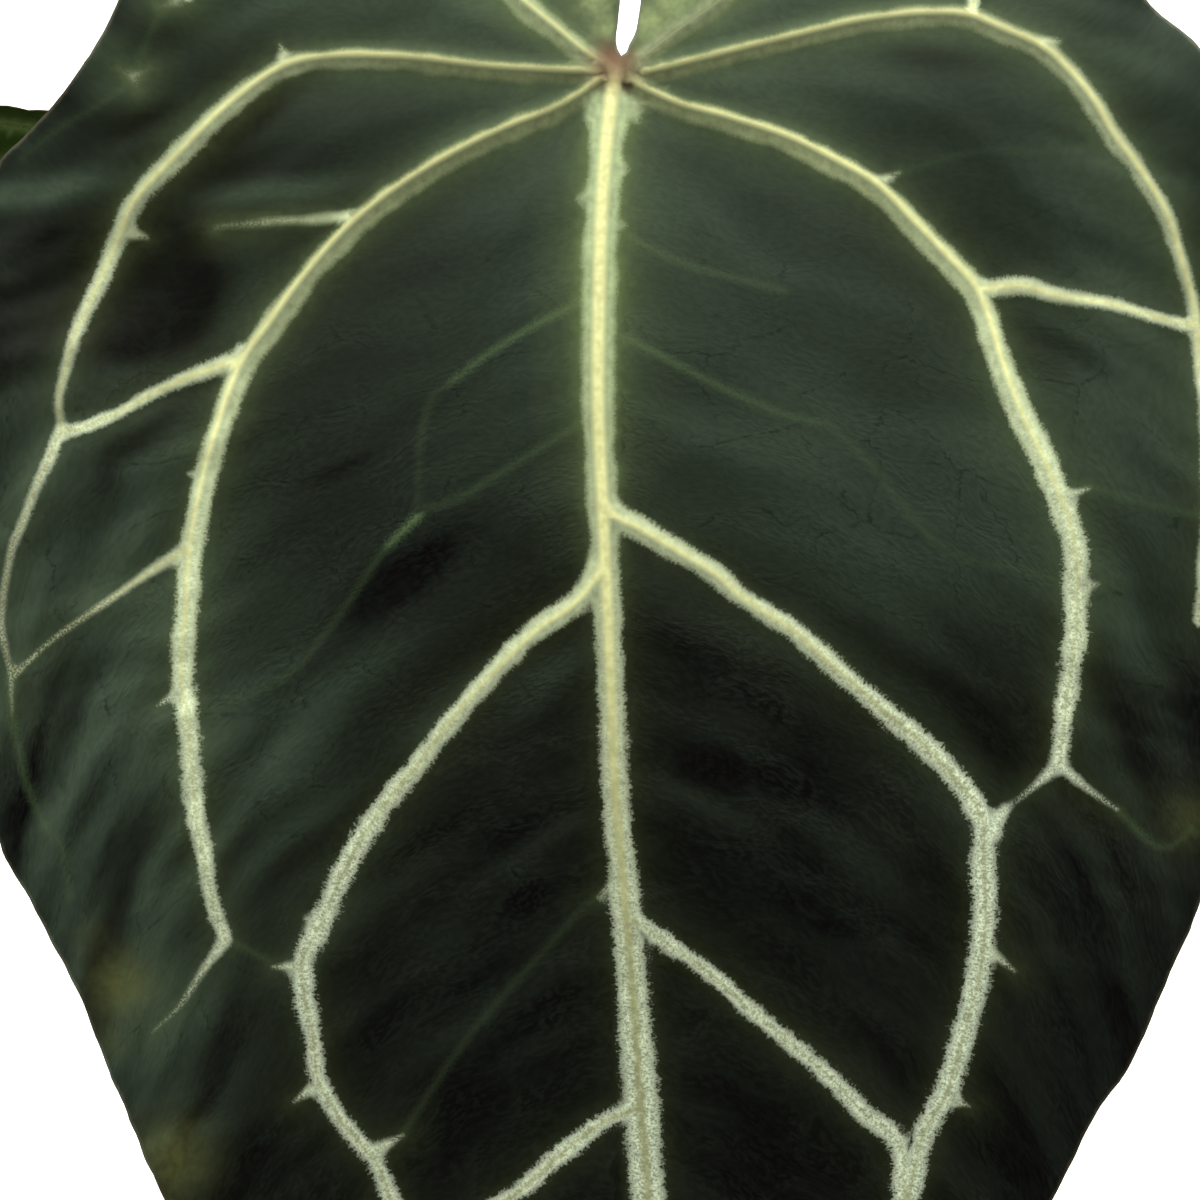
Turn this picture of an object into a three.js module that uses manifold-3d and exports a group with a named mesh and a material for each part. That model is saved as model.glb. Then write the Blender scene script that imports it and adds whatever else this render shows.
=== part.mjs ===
import * as THREE from 'three';
import { mergeVertices } from 'three/addons/utils/BufferGeometryUtils.js';
import { ConvexHull } from 'three/addons/math/ConvexHull.js';
import Module from 'manifold-3d';

// Potted anthurium hybrid. Millimetres, +Z up, origin at the middle of the pot's foot, front towards -Y.
// Leaf shapes are given in a leaf's own frame: the stalk joins at (0, 0), the tip lies towards -y.

const wasm = await Module();
wasm.setup();

// Pot
const POT_HEIGHT = 125;
const POT_FOOT_RADIUS = 47;
const POT_NECK_RADIUS = 62;
const POT_RIM_RADIUS = 69;
const POT_RIM_HEIGHT = 22;
const POT_WALL = 5;
const POT_FLOOR = 8;
const POT_SIDES = 40;
const DRAIN_RADIUS = 5;
const DRAIN_RING_RADIUS = 27;
const DRAIN_COUNT = 4;

// Growing mix, rootstock and roots
const FIT_GAP = 0.3;
const MIX_TOP = 110;
const CHIP_COUNT = 32;
const CHIP_LENGTH = [9, 15];
const CHIP_WIDTH = [6, 10];
const CHIP_DEPTH = [3.5, 5.5];
const CHIP_TILT = 0.45;
const GOLDEN_ANGLE = 2.39996;
const STEM_RADIUS = 8;
const STEM_FOOT = 62;
const STEM_TOP = 152;
const COLLAR_HEIGHT = 11;
const COLLAR_WALL = 0.9;
const COLLAR_FLARE = 1.2;
const COLLAR_SIDES = 28;
const ROOT_RADIUS = 2.2;

// Leaves
const BLADE_THICKNESS = 0.8;
const RIB_HALF_WIDTH = 1.6;
const STALK_RADIUS = 2.4;
const STALK_BASE_RADIUS = 3.4;
const KNEE_LENGTH = 16;
const CUSHION_HEIGHT = 1.2;
const CUSHION_RADIUS = 3.2;
const BLADE_LENGTH = 205;
const VIEW_DISTANCE = 350;
const OUTLINE_MIDDLE = new THREE.Vector2(-1.8, -55.7);

// Margin of a blade, from the right side of the notch round the tip to the left side of the notch
const MARGIN = [
  [1.3, 2.6], [1.9, 3.9], [2.5, 7.4], [3.6, 16], [6.5, 27], [13, 37.5], [23, 43], [33, 40.5], [43.5, 29],
  [50, 16], [55.9, 7], [61.2, 2.2], [65, -6], [67.6, -17], [68.8, -32], [68.4, -50], [66, -68], [61.2, -87.4],
  [58.5, -93.9], [53.7, -104.7], [50.4, -109.5], [45.7, -118.7], [37.5, -134], [28.5, -150], [20.5, -166],
  [14.4, -180], [10.6, -190], [7.6, -205], [3.6, -192], [-2.5, -182], [-11.5, -170.5], [-22.5, -156],
  [-33.5, -141], [-42.5, -128], [-47.5, -118.7], [-52.7, -106.7], [-56, -98.3], [-58.8, -92.6], [-62, -86.6],
  [-64.8, -81.4], [-68.2, -66], [-69.3, -50], [-68.8, -32], [-66.6, -16], [-64.8, -9.6], [-62.4, -7.1],
  [-58.3, -2.5], [-54.2, 3.4], [-51.6, 9], [-48, 18], [-42.5, 29], [-32, 39.5], [-21, 43], [-11.5, 39],
  [-4.6, 28.5], [-1.2, 17], [0.3, 8], [0.1, 5], [-0.1, 2.6], [0.6, 1.4],
];

// Main ribs of a blade, each with its height at the joint and at its end
const RIBS = [
  { name: 'midrib', rise: [1.3, 0.6], path: [
    [0, -0.5], [-1.2, -14], [-1.8, -24], [-2, -34.5], [-1.5, -47], [-0.5, -68], [0.8, -88], [2.4, -108],
    [3.6, -128], [4.8, -150], [6, -172], [7.3, -196]] },
  { name: 'left basal', rise: [1.2, 0.4], path: [
    [-1.8, -0.2], [-12.5, 0.3], [-22.5, 1.4], [-30.6, 1.4], [-35, 0.3], [-40.6, -3.5], [-45.5, -8.3],
    [-52, -16], [-55, -23], [-58, -31], [-58.6, -38], [-62.3, -46.5], [-64.4, -57], [-63, -68]] },
  { name: 'left main', rise: [1.2, 0.4], path: [
    [-1.8, -1], [-12.5, -6.3], [-24.5, -13.2], [-33.5, -22.4], [-39, -30], [-42.3, -39], [-44.5, -50],
    [-45.7, -63.5], [-44.6, -76], [-42.2, -88], [-41, -91.5], [-45.8, -98.3], [-49.5, -103]] },
  { name: 'right basal', rise: [1.2, 0.4], path: [
    [2.6, -0.3], [10.3, 1.6], [26.4, 5.4], [36.7, 5.8], [44.5, 2.5], [49.7, -2.7], [54.5, -10], [58, -16.5],
    [60.5, -25], [61.5, -33], [62, -44], [61, -58]] },
  { name: 'right main', rise: [1.2, 0.4], path: [
    [1.5, -1.3], [12.3, -5.1], [23, -9.5], [31.2, -16], [37.6, -22.8], [40.4, -30.9], [44.4, -40],
    [47.3, -47], [48.2, -55.7], [47.5, -63.8], [46.4, -73], [42, -76.5]] },
  { name: 'left lower', rise: [0.9, 0.3], path: [
    [-2, -53], [-8.5, -59], [-16.6, -67.3], [-24.6, -77.4], [-31.4, -90], [-33.8, -94.6], [-31.8, -106],
    [-27, -112.6], [-24, -118.5], [-21, -126], [-17, -138]] },
  { name: 'right lower', rise: [0.9, 0.3], path: [
    [-0.2, -47], [6.3, -50.5], [13.1, -55.7], [23.1, -62.5], [32.3, -70.9], [38, -77.4], [39.2, -80],
    [38.6, -92], [37.7, -96], [35.6, -103.8], [32.3, -111], [30, -120], [25, -133], [20, -146]] },
  { name: 'left lobe', rise: [1.1, 0.3], path: [
    [-1, 0.6], [-6, 4], [-12.3, 7.4], [-20, 14], [-25, 24], [-24, 34]] },
  { name: 'right lobe', rise: [1.1, 0.3], path: [
    [2.2, 0.8], [6, 3.8], [11, 7.4], [19, 14], [25, 23], [25, 34]] },
];

// Side ribs, built on the large front leaf alone
const SIDE_RIBS = [
  { name: 'left branch 1', rise: [0.6, 0.2], path: [[-27.4, -15.3], [-35, -15.9], [-47.5, -17.1]] },
  { name: 'left branch 2', rise: [0.7, 0.3], path: [[-39.9, -30.7], [-48.7, -34], [-58, -38]] },
  { name: 'left branch 3', rise: [0.6, 0.2], path: [[-45.5, -50.5], [-52.7, -55.3], [-62, -62.5]] },
  { name: 'right branch', rise: [0.7, 0.3], path: [[38.4, -23], [46.4, -23.8], [59.6, -26.8]] },
  { name: 'left tip branch', rise: [0.7, 0.2], path: [[0.8, -108], [-6.5, -114.3], [-14, -120], [-17, -127]] },
  { name: 'right tip branch', rise: [0.8, 0.2], path: [
    [2.6, -89.8], [9.5, -94.6], [18.3, -102.3], [26.4, -110], [30.3, -117]] },
];

// Leaves. joint: where the stalk meets the blade. faces: the way the blade looks. tip: the way its tip hangs.
// wave: size of the margin's waves. droop: how fast the blade curls back. girth: width against the front
// leaf's. sway: how far the tip bends to the side. route: the stalk's way up.
const FRONT_TILT = THREE.MathUtils.degToRad(20);
const LEAVES = [
  { name: 'front', joint: [0, -62, 352], scale: 1, mirror: 1, wave: 1.6, droop: 0.0021, phase: 0.4,
    girth: 1, sway: 0,
    faces: [0, -Math.cos(FRONT_TILT), Math.sin(FRONT_TILT)],
    tip: [0, -Math.sin(FRONT_TILT), -Math.cos(FRONT_TILT)],
    ribStep: 6.5, marginStep: 6, fillStep: 10.5, sideRibs: true, baseAngle: -90, baseHeight: 128,
    route: [[0, -15, 170], [1, -20, 240], [1, -25, 310]] },
  { name: 'left', joint: [-43, 12, 302.5], scale: 0.86, mirror: -1, wave: 2.4, droop: 0.003, phase: 1.9,
    girth: 0.95, sway: 12,
    faces: [-0.18, -0.4, 0.9], tip: [-1, 0, -0.08], baseAngle: 170, baseHeight: 133,
    route: [[-15, 4, 175], [-23, 12, 225], [-32, 22, 272]] },
  { name: 'right', joint: [129, -4, 207], scale: 0.8, mirror: 1, wave: 2.6, droop: 0.0034, phase: 3.1,
    girth: 0.92, sway: -10,
    faces: [0.55, -0.1, 0.83], tip: [0.7, -0.1, -0.7], baseAngle: 0, baseHeight: 123,
    route: [[27, 1, 139], [62, 1, 152], [102, -1, 178]] },
  { name: 'back_right', joint: [42, 72, 300], scale: 0.88, mirror: -1, wave: 2.2, droop: 0.003, phase: 4.4,
    girth: 0.97, sway: -9,
    faces: [0.34, 0.65, 0.66], tip: [0.26, 0.45, -0.85], baseAngle: 64, baseHeight: 130,
    route: [[8, 15, 180], [18, 29, 225], [30, 45, 268]] },
  { name: 'back_left', joint: [-30, 78, 262], scale: 0.8, mirror: 1, wave: 2.8, droop: 0.0034, phase: 5.6,
    girth: 0.9, sway: 14,
    faces: [-0.28, 0.63, 0.72], tip: [-0.22, 0.6, -0.74], baseAngle: 118, baseHeight: 125,
    route: [[-8, 16, 165], [-15, 30, 200], [-22, 50, 235]] },
  { name: 'young', joint: [32, 8, 286], scale: 0.46, mirror: 1, wave: 2, droop: 0.004, phase: 0.9,
    girth: 0.86, sway: 8,
    faces: [0.34, -0.35, 0.87], tip: [0.85, -0.1, -0.5], baseAngle: 28, baseHeight: 134,
    ribStep: 22, marginStep: 16, fillStep: 28, route: [[14, 5, 185], [19, 6, 225], [26, 9, 262]] },
];

const finish = {
  pot: new THREE.MeshStandardMaterial({ color: 0xb4704a, roughness: 0.85, metalness: 0 }),
  mix: new THREE.MeshStandardMaterial({ color: 0x5a4030, roughness: 0.95, metalness: 0 }),
  root: new THREE.MeshStandardMaterial({ color: 0x8a7a52, roughness: 0.8, metalness: 0 }),
  paper: new THREE.MeshStandardMaterial({ color: 0x8c6b42, roughness: 0.9, metalness: 0 }),
  stalk: new THREE.MeshStandardMaterial({ color: 0x6f7d42, roughness: 0.5, metalness: 0 }),
  blade: new THREE.MeshStandardMaterial({ color: 0x1e2a1e, roughness: 0.8, metalness: 0 }),
  shoot: new THREE.MeshStandardMaterial({ color: 0x7d6a3c, roughness: 0.5, metalness: 0 }),
};

// Seeded draws, so that every build is the same
function seeded(seed) {
  let state = seed;
  return () => {
    state = (state * 1664525 + 1013904223) % 4294967296;
    return state / 4294967296;
  };
}

// Geometry with shared vertices, from its positions alone
function closed(geometry) {
  geometry.deleteAttribute('normal');
  geometry.deleteAttribute('uv');
  return mergeVertices(geometry, 1e-3);
}

function solid(geometry) {
  const merged = closed(geometry);
  return new wasm.Manifold(new wasm.Mesh({
    numProp: 3,
    vertProperties: new Float32Array(merged.attributes.position.array),
    triVerts: new Uint32Array(merged.index.array),
  }));
}

function geometryOf(manifold) {
  const { numProp, vertProperties, triVerts } = manifold.getMesh();
  const geometry = new THREE.BufferGeometry();
  const buffer = new THREE.InterleavedBuffer(vertProperties, numProp);
  geometry.setAttribute('position', new THREE.InterleavedBufferAttribute(buffer, 3, 0));
  geometry.setIndex(new THREE.BufferAttribute(triVerts, 1));
  return mergeVertices(geometry.toNonIndexed(), 1e-3);
}

function named(name, geometry, material) {
  const mesh = new THREE.Mesh(geometry, material);
  mesh.name = name;
  return mesh;
}

// A round bar along a curve whose radius follows radiusAt(share of the way)
function taperedBar(points, radiusAt, steps, sides) {
  const curve = new THREE.CatmullRomCurve3(points, false, 'centripetal');
  const section = new THREE.Shape();
  section.absarc(0, 0, 1, 0, Math.PI * 2, false);
  const bar = closed(new THREE.ExtrudeGeometry(section, {
    curveSegments: sides / 2, steps, extrudePath: curve, bevelEnabled: false,
  }));
  const middles = curve.getSpacedPoints(steps);
  const position = bar.attributes.position;
  const point = new THREE.Vector3();
  for (let i = 0; i < position.count; i += 1) {
    point.fromBufferAttribute(position, i);
    let nearest = 0;
    middles.forEach((middle, k) => {
      if (middle.distanceTo(point) < middles[nearest].distanceTo(point)) nearest = k;
    });
    point.sub(middles[nearest]).multiplyScalar(radiusAt(nearest / steps)).add(middles[nearest]);
    position.setXYZ(i, point.x, point.y, point.z);
  }
  return bar;
}

// Pot: a turned wall with a rim band, and drain holes round a solid middle
function potGeometry() {
  const neck = POT_HEIGHT - POT_RIM_HEIGHT;
  const slope = (POT_NECK_RADIUS - POT_FOOT_RADIUS) / neck;
  const innerAt = (z) => POT_FOOT_RADIUS + slope * z - POT_WALL;
  const profile = [
    [0, 0], [POT_FOOT_RADIUS - 2, 0], [POT_FOOT_RADIUS, 2], [POT_NECK_RADIUS, neck],
    [POT_RIM_RADIUS - 2, neck + 1], [POT_RIM_RADIUS - 1, neck + 3], [POT_RIM_RADIUS, POT_HEIGHT - 3],
    [POT_RIM_RADIUS - 2.5, POT_HEIGHT], [innerAt(POT_HEIGHT) + 2, POT_HEIGHT],
    [innerAt(POT_HEIGHT), POT_HEIGHT - 3], [innerAt(POT_FLOOR + 4), POT_FLOOR + 4],
    [innerAt(POT_FLOOR) - 4, POT_FLOOR], [0, POT_FLOOR],
  ].map(([x, y]) => new THREE.Vector2(x, y));
  const turned = new THREE.LatheGeometry(profile, POT_SIDES);
  turned.rotateX(Math.PI / 2);
  let pot = solid(turned);
  for (let i = 0; i < DRAIN_COUNT; i += 1) {
    const angle = ((i + 0.5) / DRAIN_COUNT) * Math.PI * 2;
    const drain = new THREE.CylinderGeometry(DRAIN_RADIUS, DRAIN_RADIUS, POT_FLOOR * 3, 12);
    drain.rotateX(Math.PI / 2);
    drain.translate(Math.cos(angle) * DRAIN_RING_RADIUS, Math.sin(angle) * DRAIN_RING_RADIUS, POT_FLOOR / 2);
    pot = pot.subtract(solid(drain));
  }
  return geometryOf(pot);
}

function mixRadiusAt(z) {
  const slope = (POT_NECK_RADIUS - POT_FOOT_RADIUS) / (POT_HEIGHT - POT_RIM_HEIGHT);
  return POT_FOOT_RADIUS + slope * z - POT_WALL - FIT_GAP;
}

// Roots: where each leaves the stem, how much it rises first, how far out it reaches and how deep it ends
const ROOTS = [
  { angle: 20, start: 104, rise: 0, reach: 36, depth: 30, radius: ROOT_RADIUS },
  { angle: 82, start: 98, rise: 0, reach: 33, depth: 24, radius: ROOT_RADIUS * 0.8 },
  { angle: 150, start: 102, rise: 0, reach: 38, depth: 36, radius: ROOT_RADIUS },
  { angle: 205, start: 96, rise: 0, reach: 31, depth: 22, radius: ROOT_RADIUS * 0.85 },
  { angle: 262, start: 100, rise: 0, reach: 36, depth: 32, radius: ROOT_RADIUS },
  { angle: 318, start: 94, rise: 0, reach: 32, depth: 20, radius: ROOT_RADIUS * 0.8 },
  { angle: -48, start: 124, rise: 5, reach: 34, depth: 84, radius: ROOT_RADIUS },
  { angle: 214, start: 123, rise: 6, reach: 30, depth: 88, radius: ROOT_RADIUS * 0.9 },
  { angle: 90, start: 123, rise: 4, reach: 36, depth: 86, radius: ROOT_RADIUS },
];

function rootPoints(root, extra) {
  const angle = THREE.MathUtils.degToRad(root.angle);
  const at = (radius, z, turn) => new THREE.Vector3(
    Math.cos(angle + turn) * radius, Math.sin(angle + turn) * radius, z);
  return [
    at(STEM_RADIUS * 0.4, root.start, 0),
    at(STEM_RADIUS + 5, root.start + root.rise, 0),
    at(root.reach * 0.62, root.start + root.rise * 0.4 - (root.start - root.depth) * 0.18, 0.12),
    at(root.reach * 0.9, root.start - (root.start - root.depth) * 0.5, 0.25),
    at(root.reach, root.depth - 2 * extra, 0.3),
  ];
}

function rootstockSolid(extra) {
  const profile = [
    [0, STEM_FOOT - extra], [STEM_RADIUS - 3 + extra, STEM_FOOT - extra], [STEM_RADIUS + extra, STEM_FOOT + 8],
    [STEM_RADIUS + extra, STEM_TOP - 14], [STEM_RADIUS - 2 + extra, STEM_TOP - 4 + extra],
    [STEM_RADIUS - 5 + extra, STEM_TOP + extra], [0, STEM_TOP + extra],
  ].map(([x, y]) => new THREE.Vector2(x, y));
  const turned = new THREE.LatheGeometry(profile, 14);
  turned.rotateX(Math.PI / 2);
  let stock = solid(turned);
  for (const root of ROOTS) {
    const taper = (share) => root.radius * (1 - 0.55 * share) + extra * 1.3;
    stock = stock.add(solid(taperedBar(rootPoints(root, extra), taper, 8, 6)));
  }
  return stock;
}

// Growing mix: a filled body with bark chips standing out of its surface, and room for the stem and roots
function mixGeometry() {
  const low = POT_FLOOR + FIT_GAP;
  const profile = [
    [0, low], [mixRadiusAt(POT_FLOOR) - 4.5, low], [mixRadiusAt(POT_FLOOR + 4), low + 4.5],
    [mixRadiusAt(MIX_TOP), MIX_TOP - 1], [mixRadiusAt(MIX_TOP) - 6, MIX_TOP], [0, MIX_TOP + 1],
  ].map(([x, y]) => new THREE.Vector2(x, y));
  const turned = new THREE.LatheGeometry(profile, POT_SIDES);
  turned.rotateX(Math.PI / 2);
  let mix = solid(turned);
  const draw = seeded(11);
  const between = ([least, most]) => least + (most - least) * draw();
  const innerChip = STEM_RADIUS + 13;
  const outerChip = mixRadiusAt(MIX_TOP) - 10;
  for (let i = 0; i < CHIP_COUNT; i += 1) {
    const radius = innerChip + (outerChip - innerChip) * Math.sqrt((i + 0.5) / CHIP_COUNT);
    const angle = i * GOLDEN_ANGLE + draw() * 0.3;
    const chip = new THREE.BoxGeometry(between(CHIP_LENGTH), between(CHIP_WIDTH), between(CHIP_DEPTH));
    chip.rotateX(between([-CHIP_TILT, CHIP_TILT]));
    chip.rotateY(between([-CHIP_TILT, CHIP_TILT]));
    chip.rotateZ(draw() * Math.PI);
    chip.translate(Math.cos(angle) * radius, Math.sin(angle) * radius, MIX_TOP + 0.6 + draw());
    mix = mix.add(solid(chip));
  }
  return geometryOf(mix.subtract(rootstockSolid(FIT_GAP)));
}

// Papery collar: a thin ring of old leaf bases with ragged points, round the foot of the stem
function collarGeometry() {
  const inner = STEM_RADIUS + 2 * FIT_GAP;
  const foot = MIX_TOP + 1.6;
  const points = [];
  const faces = [];
  for (let i = 0; i < COLLAR_SIDES; i += 1) {
    const angle = (i / COLLAR_SIDES) * Math.PI * 2;
    const top = foot + COLLAR_HEIGHT * (0.72 + 0.2 * Math.sin(angle * 5) + 0.08 * Math.sin(angle * 11 + 1));
    const ring = [
      [inner, foot], [inner + COLLAR_WALL, foot],
      [inner + COLLAR_WALL + COLLAR_FLARE, top], [inner + COLLAR_FLARE / 2, top],
    ];
    ring.forEach(([radius, z]) => points.push(Math.cos(angle) * radius, Math.sin(angle) * radius, z));
    for (let k = 0; k < ring.length; k += 1) {
      const next = (k + 1) % ring.length;
      const here = i * ring.length;
      const there = ((i + 1) % COLLAR_SIDES) * ring.length;
      faces.push(here + k, there + k, there + next, here + k, there + next, here + next);
    }
  }
  const geometry = new THREE.BufferGeometry();
  geometry.setAttribute('position', new THREE.Float32BufferAttribute(points, 3));
  geometry.setIndex(faces);
  return geometry;
}

// Points along a leaf path, and the distance from a place to it
function flatCurve(path, loops) {
  return new THREE.CatmullRomCurve3(path.map(([x, y]) => new THREE.Vector3(x, y, 0)), loops, 'centripetal');
}

function smoothPath(path, step) {
  const curve = flatCurve(path, false);
  const count = Math.max(2, Math.round(curve.getLength() / step));
  return { curve, count, points: curve.getSpacedPoints(count) };
}

function nearestOn(points, x, y) {
  let best = { distance: Infinity, share: 0 };
  for (let i = 0; i < points.length - 1; i += 1) {
    const dx = points[i + 1].x - points[i].x;
    const dy = points[i + 1].y - points[i].y;
    const along = ((x - points[i].x) * dx + (y - points[i].y) * dy) / (dx * dx + dy * dy);
    const t = Math.min(1, Math.max(0, along));
    const distance = Math.hypot(x - points[i].x - t * dx, y - points[i].y - t * dy);
    if (distance < best.distance) best = { distance, share: (i + t) / (points.length - 1) };
  }
  return best;
}

const RIB_LINES = RIBS.concat(SIDE_RIBS).map((rib) => ({ ...rib, line: smoothPath(rib.path, 4).points }));
const MAIN_LINES = RIB_LINES.slice(0, RIBS.length);
const QUILT_WIDTH = 10;
const QUILT_HEIGHT = 2;
const FLAT_LINE = -62;
const HALF_WIDTH = 65;
const WAVE_LENGTH = 45;

// Middle surface of a blade: it arches back along and across, puffs up between the main ribs, and waves at
// its margin
function middleHeight(x, y, leaf) {
  const arch = (v) => -leaf.droop * (v - FLAT_LINE) ** 2;
  const across = -4.5 * (Math.abs(x) / HALF_WIDTH) ** 2.6;
  const nearestRib = Math.min(...MAIN_LINES.map((rib) => nearestOn(rib.line, x, y).distance));
  const quilt = QUILT_HEIGHT * (1 - Math.exp(-((nearestRib / QUILT_WIDTH) ** 2)));
  const outward = Math.min(1, Math.hypot(x, (y - FLAT_LINE) * 0.45) / HALF_WIDTH) ** 3;
  const side = x > 0 ? 1.3 : 0;
  const waves = leaf.wave * outward * Math.sin((y / WAVE_LENGTH) * Math.PI * 2 + leaf.phase + side);
  const hollow = -2.4 * Math.exp(-((x + 50) ** 2 + (y + 23) ** 2) / 110);
  return arch(y) - arch(0) + across + quilt + waves + hollow;
}

function ribHeight(x, y, ribs) {
  let height = 0;
  for (const rib of ribs) {
    const near = nearestOn(rib.line, x, y);
    const rise = rib.rise[0] + (rib.rise[1] - rib.rise[0]) * near.share;
    height = Math.max(height, rise * (1 - near.distance / RIB_HALF_WIDTH));
  }
  return height;
}

function insideOutline(outline, x, y) {
  let inside = false;
  for (let i = 0, j = outline.length - 1; i < outline.length; j = i, i += 1) {
    const a = outline[i];
    const b = outline[j];
    if ((a.y > y) !== (b.y > y) && x < ((b.x - a.x) * (y - a.y)) / (b.y - a.y) + a.x) inside = !inside;
  }
  return inside;
}

// Flat triangles between points: the lower hull of the points lifted onto a bowl
function triangulate(flat) {
  const lifted = flat.map((p) => new THREE.Vector3(p.x, p.y, (p.x * p.x + p.y * p.y) / 100));
  const indexOf = new Map(lifted.map((p, i) => [p, i]));
  const hull = new ConvexHull().setFromPoints(lifted);
  const triangles = [];
  for (const face of hull.faces) {
    if (face.normal.z >= 0) continue;
    const corners = [];
    let edge = face.edge;
    do {
      corners.push(indexOf.get(edge.head().point));
      edge = edge.next;
    } while (edge !== face.edge);
    const [a, b, c] = corners.map((i) => flat[i]);
    const turn = (b.x - a.x) * (c.y - a.y) - (b.y - a.y) * (c.x - a.x);
    triangles.push(turn > 0 ? corners : corners.reverse());
  }
  return triangles;
}

// Margin points stay close together in the notch, where its two sides nearly meet
function marginPoints(step) {
  const fine = flatCurve(MARGIN, true).getSpacedPoints(1200).slice(0, -1);
  const kept = [];
  for (const p of fine) {
    const inNotch = Math.abs(p.x) < 8 && p.y > 0;
    const gap = inNotch ? Math.max(0.8, Math.min(step, 0.35 * p.y)) : step;
    const last = kept[kept.length - 1];
    if (!last || last.distanceTo(p) >= gap) kept.push(p);
  }
  if (kept[0].distanceTo(kept[kept.length - 1]) < 0.6) kept.pop();
  return kept;
}

// Blade: ribs, cushion, margin and filling points are joined by triangles, alike on the upper and lower face
function bladeGeometry(leaf) {
  const draw = seeded(5);
  const shake = () => (draw() - 0.5) * 0.06;
  const ribs = leaf.sideRibs ? RIB_LINES : MAIN_LINES;
  const outline = marginPoints(leaf.marginStep ?? 11);
  const flat = outline.map((p) => ({ x: p.x, y: p.y }));
  const clearBy = (x, y, gap) => flat.every((p) => Math.hypot(p.x - x, p.y - y) > gap);
  const offMargin = (x, y) => nearestOn([...outline, outline[0]], x, y).distance;
  const add = (x, y, gap, edge) => {
    if (!insideOutline(outline, x, y) || offMargin(x, y) < edge || !clearBy(x, y, gap)) return;
    flat.push({ x: x + shake(), y: y + shake() });
  };
  add(0, -0.6, 0.5, 0.5);
  for (let i = 0; i < 8; i += 1) {
    const angle = (i / 8) * Math.PI * 2;
    add(Math.cos(angle) * CUSHION_RADIUS, Math.sin(angle) * CUSHION_RADIUS - 1, 0.8, 0.9);
  }
  const ribStep = leaf.ribStep ?? 13;
  const stations = ribs.map((rib, order) => {
    const { curve, count, points } = smoothPath(rib.path, ribStep);
    const joinsEarlierRib = (p) => order > 0
      && nearestCrest(ribs.slice(0, order), p.x, p.y) < Math.max(RIB_HALF_WIDTH * 1.5, ribStep * 0.52);
    const placed = points.map((p, i) => ({ p, along: curve.getTangentAt(i / count) }));
    return placed.filter(({ p }) => !joinsEarlierRib(p));
  });
  stations.flat().forEach(({ p }) => add(p.x, p.y, 1.5, 1.6));
  for (const { p, along } of stations.flat()) {
    for (const side of [-1, 1]) {
      const x = p.x - along.y * RIB_HALF_WIDTH * side;
      const y = p.y + along.x * RIB_HALF_WIDTH * side;
      if (nearestCrest(ribs, x, y) > RIB_HALF_WIDTH * 0.8) add(x, y, 1.1, 1.2);
    }
  }
  const fill = leaf.fillStep ?? 19;
  for (let row = 0; row * fill * 0.87 < 260; row += 1) {
    for (let column = 0; column * fill < 150; column += 1) {
      add(-75 + (column + (row % 2) / 2) * fill, 50 - row * fill * 0.87, fill * 0.56, fill * 0.45);
    }
  }
  const triangles = triangulate(flat).filter((t) => {
    const x = (flat[t[0]].x + flat[t[1]].x + flat[t[2]].x) / 3;
    const y = (flat[t[0]].y + flat[t[1]].y + flat[t[2]].y) / 3;
    return insideOutline(outline, x, y);
  });
  return thickened(flat, triangles, outline.length, leaf, ribs);
}

function nearestCrest(ribs, x, y) {
  return Math.min(...ribs.map((rib) => nearestOn(rib.line, x, y).distance));
}

function thickened(flat, triangles, rimCount, leaf, ribs) {
  const points = [];
  const rootHeight = middleHeight(0, -1, leaf);
  const place = (p, face) => {
    const z = middleHeight(p.x, p.y, leaf) - rootHeight;
    const cushion = Math.max(0, 1 - Math.max(0, Math.hypot(p.x, p.y + 1) - CUSHION_RADIUS) / 2);
    const rib = ribHeight(p.x, p.y, ribs) * leaf.scale;
    const below = Math.max(rib * 0.8, CUSHION_HEIGHT * cushion);
    const lift = face > 0 ? BLADE_THICKNESS / 2 + rib : -BLADE_THICKNESS / 2 - below;
    // The outline was read from straight in front, so what lies deeper is that much further from its middle
    const spread = 1 - z / VIEW_DISTANCE;
    const x = OUTLINE_MIDDLE.x + (p.x - OUTLINE_MIDDLE.x) * spread;
    const y = OUTLINE_MIDDLE.y + (p.y - OUTLINE_MIDDLE.y) * spread;
    const bend = leaf.sway * (Math.min(0, y) / BLADE_LENGTH) ** 2;
    points.push((x * leaf.girth + bend) * leaf.scale * leaf.mirror, y * leaf.scale, z * leaf.scale + lift);
  };
  flat.forEach((p) => place(p, 1));
  flat.forEach((p) => place(p, -1));
  const count = flat.length;
  const faces = [];
  triangles.forEach(([a, b, c]) => faces.push(a, b, c, c + count, b + count, a + count));
  for (let i = 0; i < rimCount; i += 1) {
    const j = (i + 1) % rimCount;
    faces.push(i, j, j + count, i, j + count, i + count);
  }
  if (leaf.mirror < 0) faces.reverse();
  const geometry = new THREE.BufferGeometry();
  geometry.setAttribute('position', new THREE.Float32BufferAttribute(points, 3));
  geometry.setIndex(faces);
  return geometry;
}

// A leaf's frame: z the way the blade faces, y from the tip to the notch, origin at the joint
function leafMatrix(leaf) {
  const z = new THREE.Vector3(...leaf.faces).normalize();
  const tip = new THREE.Vector3(...leaf.tip);
  const y = tip.addScaledVector(z, -tip.dot(z)).normalize().negate();
  const x = new THREE.Vector3().crossVectors(y, z);
  return new THREE.Matrix4().makeBasis(x, y, z).setPosition(new THREE.Vector3(...leaf.joint));
}

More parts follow.
